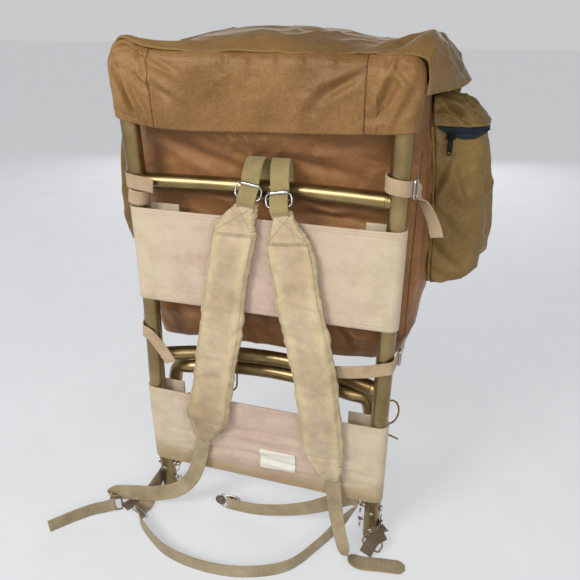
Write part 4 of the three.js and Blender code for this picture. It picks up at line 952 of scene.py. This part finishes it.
def pipe(name, points, radius_mm, look, sides=TUBE_SIDES, lobes=0, node=None):
    """A round tube along points, or a twisted cord where it has lobes."""
    first, second = frames_along(points)
    run = run_along(points)
    turns = around(sides)
    radius = np.full(sides, radius_mm * MM)
    vertices = []
    for i, point in enumerate(points):
        if lobes:
            twist = lobes * turns - 2 * math.pi * run[i] / (CORD_TWIST * MM)
            radius = radius_mm * MM * (1 + LOBE_RISE * np.cos(twist)) / (1 + LOBE_RISE)
        ring = np.outer(radius * np.cos(turns), first[i]) + np.outer(radius * np.sin(turns), second[i])
        vertices.extend(point + ring)
    return new_piece(name, vertices, ring_faces(len(points), sides), look, node=node)


def ribbon(name, rows, width, thickness, look, node=None, round_end=False):
    """A woven strap along rows of place and direction across, with its own coordinates along and across."""
    rows = np.asarray(rows, float)
    count = max(int(run_along(rows[:, :3])[-1] / STRAP_STEP), STRAP_ROW_POINTS * len(rows))
    middles = metres(curve_through(rows[:, :3], count))
    tangents = unit(np.gradient(middles, axis=0))
    across = curve_through(rows[:, 3:], count)
    across = unit(across - tangents * (across * tangents).sum(axis=1, keepdims=True))
    flat = np.cross(tangents, across)
    run = run_along(middles)
    breadth = np.full(count, float(width))
    if round_end:
        short_of_end = np.clip((run[-1] - run) / MM / (width / 2), ROUND_TAIL_LEAST, 1)
        breadth *= np.sqrt(1 - (1 - short_of_end) ** 2)
    vertices, places = [], []
    for i, middle in enumerate(middles):
        for side, rise in STRAP_SECTION:
            vertices.append(middle + across[i] * side * breadth[i] * MM + flat[i] * rise * thickness * MM)
            places.append((side * breadth[i] * MM, run[i]))
    faces = ring_faces(count, len(STRAP_SECTION))
    return new_piece(name, vertices, faces, look, node=node, strap_places=places)


def applied(obj):
    """The object's mesh with its modifiers in it."""
    graph = bpy.context.evaluated_depsgraph_get()
    return bpy.data.meshes.new_from_object(obj.evaluated_get(graph))


def finer_mesh(obj, levels):
    """The object's mesh, subdivided."""
    finer = obj.modifiers.new("finer", "SUBSURF")
    finer.levels = levels
    finer.render_levels = levels
    return applied(obj)


def rounded_copy(node, levels, crease_above, swell_mm=0.0):
    """A node's solid as a finer mesh: quads where it can, sharp rims kept, all else rounded."""
    solid = bmesh.new()
    solid.from_mesh(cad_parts[node].data)
    bmesh.ops.remove_doubles(solid, verts=solid.verts, dist=WELD)
    angles = {"angle_face_threshold": JOIN_FLAT, "angle_shape_threshold": JOIN_SHAPE}
    bmesh.ops.join_triangles(solid, faces=solid.faces, **angles)
    crease = solid.edges.layers.float.get("crease_edge") or solid.edges.layers.float.new("crease_edge")
    for edge in solid.edges:
        edge[crease] = 1.0 if edge.calc_face_angle(0.0) > math.radians(crease_above) else 0.0
    solid.normal_update()
    for vertex in solid.verts:
        vertex.co += vertex.normal * swell_mm * MM
    mesh = bpy.data.meshes.new(node + "_copy")
    solid.to_mesh(mesh)
    solid.free()
    holder = bpy.data.objects.new(node + "_copy", mesh)
    bpy.context.scene.collection.objects.link(holder)
    finished = finer_mesh(holder, levels)
    bpy.data.objects.remove(holder)
    return finished


def split_long_edges(mesh, longest_mm):
    """Halve a mesh's edges that are longer than this, over a few rounds."""
    work = bmesh.new()
    work.from_mesh(mesh)
    for _ in range(SPLIT_ROUNDS):
        too_long = [edge for edge in work.edges if edge.calc_length() > longest_mm * MM]
        if not too_long:
            break
        bmesh.ops.subdivide_edges(work, edges=too_long, cuts=1, use_grid_fill=True)
    work.to_mesh(mesh)
    work.free()


def vertices_of(mesh):
    places = np.zeros(len(mesh.vertices) * 3, np.float32)
    mesh.vertices.foreach_get("co", places)
    return places.reshape(-1, 3).astype(float)


def set_vertices(mesh, places):
    mesh.vertices.foreach_set("co", np.asarray(places, np.float32).ravel())
    mesh.update()


# Frame, cords and straps
def make_tubes():
    heights = np.linspace(UPRIGHT_FOOT, UPRIGHT_TOP, UPRIGHT_POINTS)
    for side, sign in SIDES.items():
        line = [(sign * FRAME_HALF, upright_depth(z), z) for z in heights]
        pipe("tube_upright_" + side, metres(line), UPRIGHT_R, "bronze", node="upright_" + side)
    reach = FRAME_HALF - BAR_SHORT
    for node, (height, bow) in BARS.items():
        line = [bar_point(height, bow, x) for x in np.linspace(-reach, reach, BAR_POINTS)]
        pipe("tube_" + node, metres(line), BAR_R, "bronze", node=node)
    half = HOOP_LEG + [bar_point(HOOP_HEIGHT, HOOP_BOW, x) for x in HOOP_TOP]
    other = [(-x, y, z) for x, y, z in reversed(half[:-1])]
    line = curve_through(half + other, HOOP_POINTS)
    pipe("tube_load_hoop", metres(line), BAR_R, "bronze", node="load_hoop")


def make_cords():
    end = metres(curve_through(LACE_END, LACE_POINTS))
    lace = pipe("cord_lace_end", end, CORD_R, "cord", CORD_SIDES, CORD_LOBES, "lace_end")
    lacing = metres(curve_through(LACING, LACING_POINTS))
    pipe("cord_band_lacing", lacing, CORD_R, "cord", CORD_SIDES, CORD_LOBES, "band_lacing")


def make_straps():
    height, bow = BARS["crossbar_upper"]
    for node, (at_bar, at_buckle) in UPPER_STRAPS.items():
        depth = bar_point(height, bow, at_bar)[1]
        rows = []
        for i, (back, up) in enumerate(UPPER_LOOP):
            lean = max(0, 1 - i / UPPER_LEAN_ROWS)
            rows.append((at_bar + (at_buckle - at_bar) * lean, depth + back, height + up, 1, 0, 0))
        ribbon("strap_" + node, rows, WEB_WIDTH, WEB_THICK, "olive_webbing", node)
    for node, rows in STRAPS.items():
        ribbon("strap_" + node, rows, *STRAP_KINDS[node.split("_")[0]], node, node == ROUND_TAIL)
    height, radius = TIE_WRAP["height"], TIE_WRAP["radius"]
    rows = []
    for turn in np.radians(TIE_WRAP["turns"]):
        x = radius * math.cos(turn) - FRAME_HALF
        y = radius * math.sin(turn) + upright_depth(height)
        rows.append((x, y, height - TIE_WRAP["slope"] * math.cos(turn), TIE_WRAP_TILT, 0, 1))
    ribbon("strap_tie_wrap", rows, *STRAP_KINDS["tie"])


def make_tabs():
    """The webbing from each pad up through its upper buckle, and the roller on the buckle's top bar."""
    for side, (middle, lean) in UPPER_BUCKLES.items():
        along = unit(np.array((-lean, TAB_SLOPE, 1.0)))
        rows = []
        for run, depth in TAB_PATH:
            x, y, z = np.array(middle) + along * run + np.array((0, depth, 0))
            rows.append((x, y, z, 1, 0, lean))
        ribbon("strap_pad_tab_" + side, rows, WEB_WIDTH, WEB_THICK, "olive_webbing")
        top = np.array(middle) + along * BUCKLE_RISE
        across = unit(np.array((1.0, 0, lean)))
        ends = [top + across * reach for reach in np.linspace(-ROLLER_HALF, ROLLER_HALF, ROLLER_POINTS)]
        pipe("metal_roller_" + side, metres(ends), ROLLER_R, "steel")


# Hardware and zips
def make_zip(side, sign):
    """A zip that narrows toward both ends, with a row of teeth."""
    node = "pocket_zip_" + side
    mesh = rounded_copy(node, METAL_LEVELS, ZIP_CREASE, ZIP_LIFT)
    split_long_edges(mesh, ZIP_EDGE)
    points = millimetres(vertices_of(mesh))
    out = np.abs(points[:, 0])
    opening = np.interp((out - out.min()) / np.ptp(out), *zip(*ZIP_OPENING))
    high = points[:, 2].max()
    middle = high - ZIP_TEETH_DROP * np.ptp(points[:, 2])
    points[:, 2] = high - (high - points[:, 2]) * opening
    set_vertices(mesh, metres(points))
    zipper = add_piece("cloth_" + node, mesh, "zip", node=node)
    rows = []
    for line, toward in ((ZIP_FRONT, FRONT), (ZIP_OUTSIDE, (-sign, 0, 0))):
        rows.append((zipper, [(sign * x, y, middle) for x, y in line], toward))
    stitches("teeth_zip_" + side, rows, "plastic", slot="zip", **ZIP_TEETH)


def make_hardware():
    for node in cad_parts:
        for start, (look, swell) in WIRES.items():
            if node.startswith(start):
                mesh = rounded_copy(node, METAL_LEVELS, WIRE_CREASE, swell)
                add_piece("metal_" + node, mesh, look, node=node)
    for node, (body, look, swell) in HARDWARE.items():
        mesh = rounded_copy(node, METAL_LEVELS, SMALL_CREASE, swell)
        add_piece("small_" + node, mesh, look, body, node=node)
    for side, sign in SIDES.items():
        make_zip(side, sign)


# Cloth
def fold_height(points, normals, folds):
    """Height of folds over a cloth: each a ridge with a hollow along one side, or the reverse below 0."""
    total = np.zeros(len(points))
    for *ends, width, height in folds:
        start, end = np.array(ends[:3], float), np.array(ends[3:], float)
        line = end - start
        share = np.clip((points - start) @ line / (line @ line), 0, 1)
        gap = points - start - share[:, None] * line
        rise = (gap * normals).sum(axis=1)
        flat = gap - rise[:, None] * normals
        off = np.linalg.norm(flat, axis=1) / width
        side = np.sign((flat * np.cross(normals, line)).sum(axis=1))
        hollow = HOLLOW_DEPTH * np.exp(-((off * side - HOLLOW_OFFSET) ** 2))
        near = np.abs(rise) < FOLD_REACH
        fade = FOLD_ENDS + (1 - FOLD_ENDS) * np.sin(math.pi * np.clip(share, FOLD_TIP, 1 - FOLD_TIP))
        total += height * (np.exp(-(off**FOLD_SHARPNESS)) - hollow) * fade * near
    return total


def swells(points, sizes, seed, turn=(1, 1.3, 0.6)):
    """Smooth noise of about -1 to 1 over points, with its own size along each axis."""
    shift = Vector([step * seed for step in turn])
    scaled = points / np.array(sizes, float)
    return np.array([noise.noise(Vector(p) + shift) for p in scaled])


def crinkles(points, sizes, seed):
    """Creased noise of about 0 to 1 over points."""
    smooth = np.abs(swells(points, sizes, seed, (1, 0.37, 1.7)))
    return (1 - np.minimum(1.0, CRINKLE_GAIN * smooth)) ** CRINKLE_SHARPNESS


def make_cloths():
    made = {}
    for node, row in CLOTHS.items():
        centre, reach, longest, look, swell, swell_sizes, crinkle, crinkle_sizes, seed = row
        mesh = rounded_copy(node, CLOTH_LEVELS, CLOTH_CREASE)
        split_long_edges(mesh, longest)
        points = millimetres(vertices_of(mesh))
        ways = unit((points - np.array(centre)) / np.array(reach, float) ** 2)
        height = swell * swells(points, swell_sizes, seed)
        height += crinkle * (crinkles(points, crinkle_sizes, seed) - CRINKLE_BASE)
        height += FOLD_GAIN * fold_height(points, ways, FOLDS.get(node, []))
        moved = points + ways * height[:, None]
        for middle, spread, shift in SAGS.get(node, []):
            near = np.exp(-(((points - np.array(middle)) / np.array(spread)) ** 2).sum(axis=1))
            moved += near[:, None] * np.array(shift)
        set_vertices(mesh, metres(moved))
        made[node] = add_piece("cloth_" + node, mesh, look, node=node)
    return made


# Shoulder pads
def pad_point(side, row, share):
    """A point on a pad's front face: at a row, which may lie between two, and at a share of the width."""
    rows = np.array(PAD_EDGES[side], float)
    left_x, left_z, right_x, right_z, front, _ = (np.interp(row, np.arange(len(rows)), c) for c in rows.T)
    middle = np.array(((left_x + right_x) / 2, front, (left_z + right_z) / 2))
    return tuple(middle + share * np.array((right_x - left_x, 0, right_z - left_z)))


def pad_end_rows(side):
    """The row of a pad's lower seam, and its last row."""
    last = len(PAD_EDGES[side]) - 1
    return last - PAD_LOW_SEAM, last


def pad_folds(side):
    """Seams and creases of a pad: across its top and bottom, along its channels, and where it bends."""

    def fold(start_row, start_share, end_row, end_share, size):
        return (*pad_point(side, start_row, start_share), *pad_point(side, end_row, end_share), *size)

    low, last = pad_end_rows(side)
    folds = []
    for row in (PAD_TOP_SEAM, low):
        above = row - PAD_TUCK_ROWS
        folds.append(fold(row, -0.5, row, 0.5, PAD_SEAM))
        folds.append(fold(above, PAD_TUCK_ENDS[0], above, PAD_TUCK_ENDS[1], PAD_TUCK))
    for share in PAD_CHANNELS:
        for row in range(PAD_TOP_SEAM, low):
            folds.append(fold(row, share, row + 1, share, PAD_CHANNEL))
    for along, share, along_end, share_end in PAD_CREASES[side]:
        folds.append(fold(along * last, share, along_end * last, share_end, PAD_CREASE))
    return folds


def pad_rings(side):
    """Rings of points down a pad, and each point's place across."""
    rows = np.array(PAD_EDGES[side], float)
    turns = around(PAD_SIDES)
    across = squared(np.cos(turns), PAD_SIDE_POWER) / 2
    rise = squared(np.sin(turns), PAD_FACE_POWER)
    points, shares = [], []
    for row in np.linspace(0, len(rows) - 1, int(run_along(rows[:, :2])[-1] / PAD_STEP)):
        fill = np.interp(row, np.arange(len(rows)), rows[:, 5])
        for share, out in zip(across, rise):
            x, front, z = pad_point(side, row, share)
            points.append((x, front + PAD_THICK / 2 * (1 - fill * out), z))
            shares.append(share)
    return np.array(points), np.array(shares)


def blown_up(pad):
    """Vertices of a pad after a short cloth simulation under pressure, none moved past the cap."""
    before = vertices_of(pad.data)
    cloth = pad.modifiers.new("blown", "CLOTH")
    cloth.settings.use_pressure = True
    cloth.settings.uniform_pressure_force = PAD_PRESSURE
    cloth.settings.effector_weights.gravity = 0
    cloth.point_cache.frame_end = PAD_FRAMES
    for step in range(1, PAD_FRAMES + 1):
        bpy.context.scene.frame_set(step)
    moved = vertices_of(applied(pad)) - before
    pad.modifiers.clear()
    bpy.context.scene.frame_set(1)
    length = np.linalg.norm(moved, axis=1, keepdims=True)
    return before + moved * np.minimum(1, PAD_CAP * MM / np.maximum(length, 1e-9))


def make_pad(side):
    points, shares = pad_rings(side)
    faces = ring_faces(len(points) // PAD_SIDES, PAD_SIDES)
    node = "shoulder_pad_" + side
    places = [(share, 0) for share in shares]
    pad = new_piece("padded_" + node, metres(points), faces, "pad_cloth", node=node, strap_places=places)
    full = blown_up(pad)
    points = millimetres(full)
    normals = np.array([v.normal for v in pad.data.vertices])
    edge = np.clip(np.abs(shares) * 2, 0, 1) ** PAD_PUCKER_POWER
    height = np.zeros(len(points))
    for share, (gain, sizes, seed, base) in ((1, PAD_CRINKLE), (edge, PAD_PUCKER)):
        height += share * gain * (crinkles(points, sizes, seed) - base)
    gain, sizes, seed = PAD_SWELL
    height += gain * swells(points, sizes, seed)
    toward = np.tile((0.0, -1.0, 0.0), (len(points), 1))
    height += fold_height(points, toward, pad_folds(side)) * (normals[:, 1] < PAD_FACING)
    set_vertices(pad.data, full + normals * height[:, None] * MM)
    pad.data = finer_mesh(pad, PAD_LEVELS)
    pad.modifiers.clear()
    pad.data.shade_smooth()
    return pad


# Seams, stitches and small trim, laid on the pieces that carry them
def ahead(line):
    """A line of places across and heights, out in front of the pack."""
    return [(x, AHEAD, z) for x, z in line]


def laid_on(piece, line, toward, lift_mm, step_mm=2.0):
    """Points of a line dropped on a piece along a direction, and the surface's directions there."""
    points = metres(curve_through(line, max(int(run_along(line)[-1] / step_mm), 4)))
    toward = Vector(toward).normalized()
    tree = BVHTree.FromObject(piece, bpy.context.evaluated_depsgraph_get())
    found = []
    for point in points:
        hit, normal, _, _ = tree.ray_cast(Vector(point) - toward * CAST_BACK, toward, CAST_REACH)
        if hit is not None:
            found.append((hit + normal * lift_mm * MM, normal))
    return found


def seam(name, piece, line):
    """A drawn-in seam: a thin cord half sunk in the cloth, its darker colour painted shade of the seam's
    groove.
    """
    found = laid_on(piece, ahead(line), FRONT, SEAM_LIFT)
    pipe(name, np.array([hit for hit, _ in found]), SEAM_R, "nylon_seam_shade", SEAM_SIDES)


def stitches(name, rows, look="thread", slot=None, pitch_mm=3.6, length_mm=2.3, thick_mm=0.45):
    """Rows of short lens-shaped threads, each row a piece, a line and a direction to drop it along."""
    vertices, faces = [], []
    for piece, line, toward in rows:
        found = laid_on(piece, line, toward, STITCH_LIFT, pitch_mm)
        for (hit, normal), (after, _) in zip(found, found[1:]):
            along = (after - hit).normalized()
            side = normal.cross(along)
            start = len(vertices)
            half = along * length_mm / 2 * MM
            belt = [hit + way * thick_mm * MM for way in (side, normal, -side, -normal)]
            vertices += [hit - half, hit + half] + belt
            for i in range(4):
                j = (i + 1) % 4
                faces.append((start, start + 2 + j, start + 2 + i))
                faces.append((start + 1, start + 2 + i, start + 2 + j))
    return new_piece(name, vertices, faces, look)


def tape(name, piece, line, width):
    """A flat sewn-on tape that follows a piece."""
    found = laid_on(piece, ahead(line), FRONT, TAPE_LIFT, TAPE_STEP)
    rows = []
    for i, (hit, normal) in enumerate(found):
        before, after = found[max(i - 1, 0)][0], found[min(i + 1, len(found) - 1)][0]
        across = normal.cross(after - before).normalized()
        rows.append((*millimetres(hit), *across))
    ribbon(name, rows, width, TAPE_THICK, "nylon")


def dome(name, at):
    """A low round rivet head that faces the front."""
    x, y, z = at
    vertices = []
    for share, height in RIVET_RINGS:
        radius = RIVET_R * share
        front = y - RIVET_RISE * height
        for turn in around(RIVET_SIDES):
            vertices.append((x + radius * math.cos(turn), front, z + radius * math.sin(turn)))
    new_piece(name, metres(vertices), ring_faces(len(RIVET_RINGS), RIVET_SIDES), "steel")


def make_piping(side, pocket):
    """Piping down a pocket's front edge, where it is sewn to the bag."""
    points = millimetres(vertices_of(pocket.data))
    points = points[points[:, 1] < POCKET_FRONT]
    line = []
    for height in np.linspace(*PIPING_HEIGHTS, PIPING_ROWS):
        level = points[np.abs(points[:, 2] - height) < PIPING_LEVEL]
        x, y, _ = level[np.abs(level[:, 0]).argmin()]
        line.append((x - PIPING_IN * np.sign(x), y + PIPING_BACK, height))
    line = curve_through(line, PIPING_POINTS)
    pipe("piping_" + side, metres(line), PIPING_R, "nylon_olive", PIPING_SIDES)


def trim_bag(cloths):
    yoke, bag, lid = cloths["bag_yoke"], cloths["bag_body"], cloths["bag_lid"]
    for side, line in YOKE_SEAMS.items():
        seam("seam_yoke_" + side, yoke, line)
    tape("tape_yoke", yoke, YOKE_TAPE, YOKE_TAPE_WIDTH)
    lines = [[(x, z + rise) for x, z in YOKE_HEM] for rise in YOKE_HEM_RISES]
    lines += [[(x, z) for x in YOKE_TOP_PLACES] for z in YOKE_TOP_STITCHES]
    lines += [[(x, z) for z in YOKE_SIDE_HEIGHTS] for x in YOKE_SIDE_STITCHES]
    stitches("stitches_yoke", [(yoke, ahead(line), FRONT) for line in lines])
    stitches("stitches_lid", [(lid, ahead(LID_STITCHES), FRONT)])
    for side, sign in SIDES.items():
        seam("seam_bag_" + side, bag, [(sign * BAG_SEAM_X, z) for z in BAG_SEAM_HEIGHTS])
        make_piping(side, cloths["side_pocket_" + side])


def trim_bands(cloths):
    for name, heights in BAND_STITCHES.items():
        lines = [[(x, z) for x in BAND_STITCH_PLACES] for z in heights]
        rows = [(cloths["back_band_" + name], ahead(line), FRONT) for line in lines]
        stitches("stitches_band_" + name, rows, "pale_thread")


def trim_pads(pads):
    for side, pad in pads.items():
        low, last = pad_end_rows(side)
        inset = PAD_STITCH_INSET
        lines = []
        for share in (-PAD_STITCH_SHARE, PAD_STITCH_SHARE):
            lines.append([pad_point(side, row, share) for row in range(PAD_TOP_SEAM, low + 1)])
            lines.append([pad_point(side, row, share) for row in np.linspace(inset, PAD_TOP_SEAM, 5)])
            lines.append([pad_point(side, inset, share), pad_point(side, PAD_TOP_SEAM - inset, -share)])
            lines.append([pad_point(side, row, share) for row in np.linspace(low, last - PAD_STITCH_TIP, 4)])
        for row in (PAD_TOP_SEAM - inset, PAD_TOP_SEAM, low, last - inset):
            lines.append([pad_point(side, row, share) for share in PAD_STITCH_ENDS])
        rows = [(pad, line, FRONT) for line in lines]
        stitches("stitches_pad_" + side, rows, "pad_thread", thick_mm=PAD_STITCH_THICK)


def trim_frame():
    for i, (x, z) in enumerate(RIVETS):
        dome(f"rivet_{i}", (x, upright_depth(z) - UPRIGHT_R + RIVET_SUNK, z))
    for node, (height, bow) in BARS.items():
        for side, sign in SIDES.items():
            ends = [sign * (FRAME_HALF - UPRIGHT_R - off) for off in COLLAR_OFFSETS]
            line = [bar_point(height, bow, x) for x in ends]
            pipe(f"collar_{node}_{side}", metres(line), COLLAR_R, "bronze")


stage = bpy.context.scene
make_camera(stage)
make_lights(stage)
make_sky(stage)
make_floor(stage)
make_cords()
make_tubes()
make_straps()
make_tabs()
make_hardware()
cloths = make_cloths()
pads = {side: make_pad(side) for side in SIDES}
trim_bag(cloths)
trim_bands(cloths)
trim_pads(pads)
trim_frame()
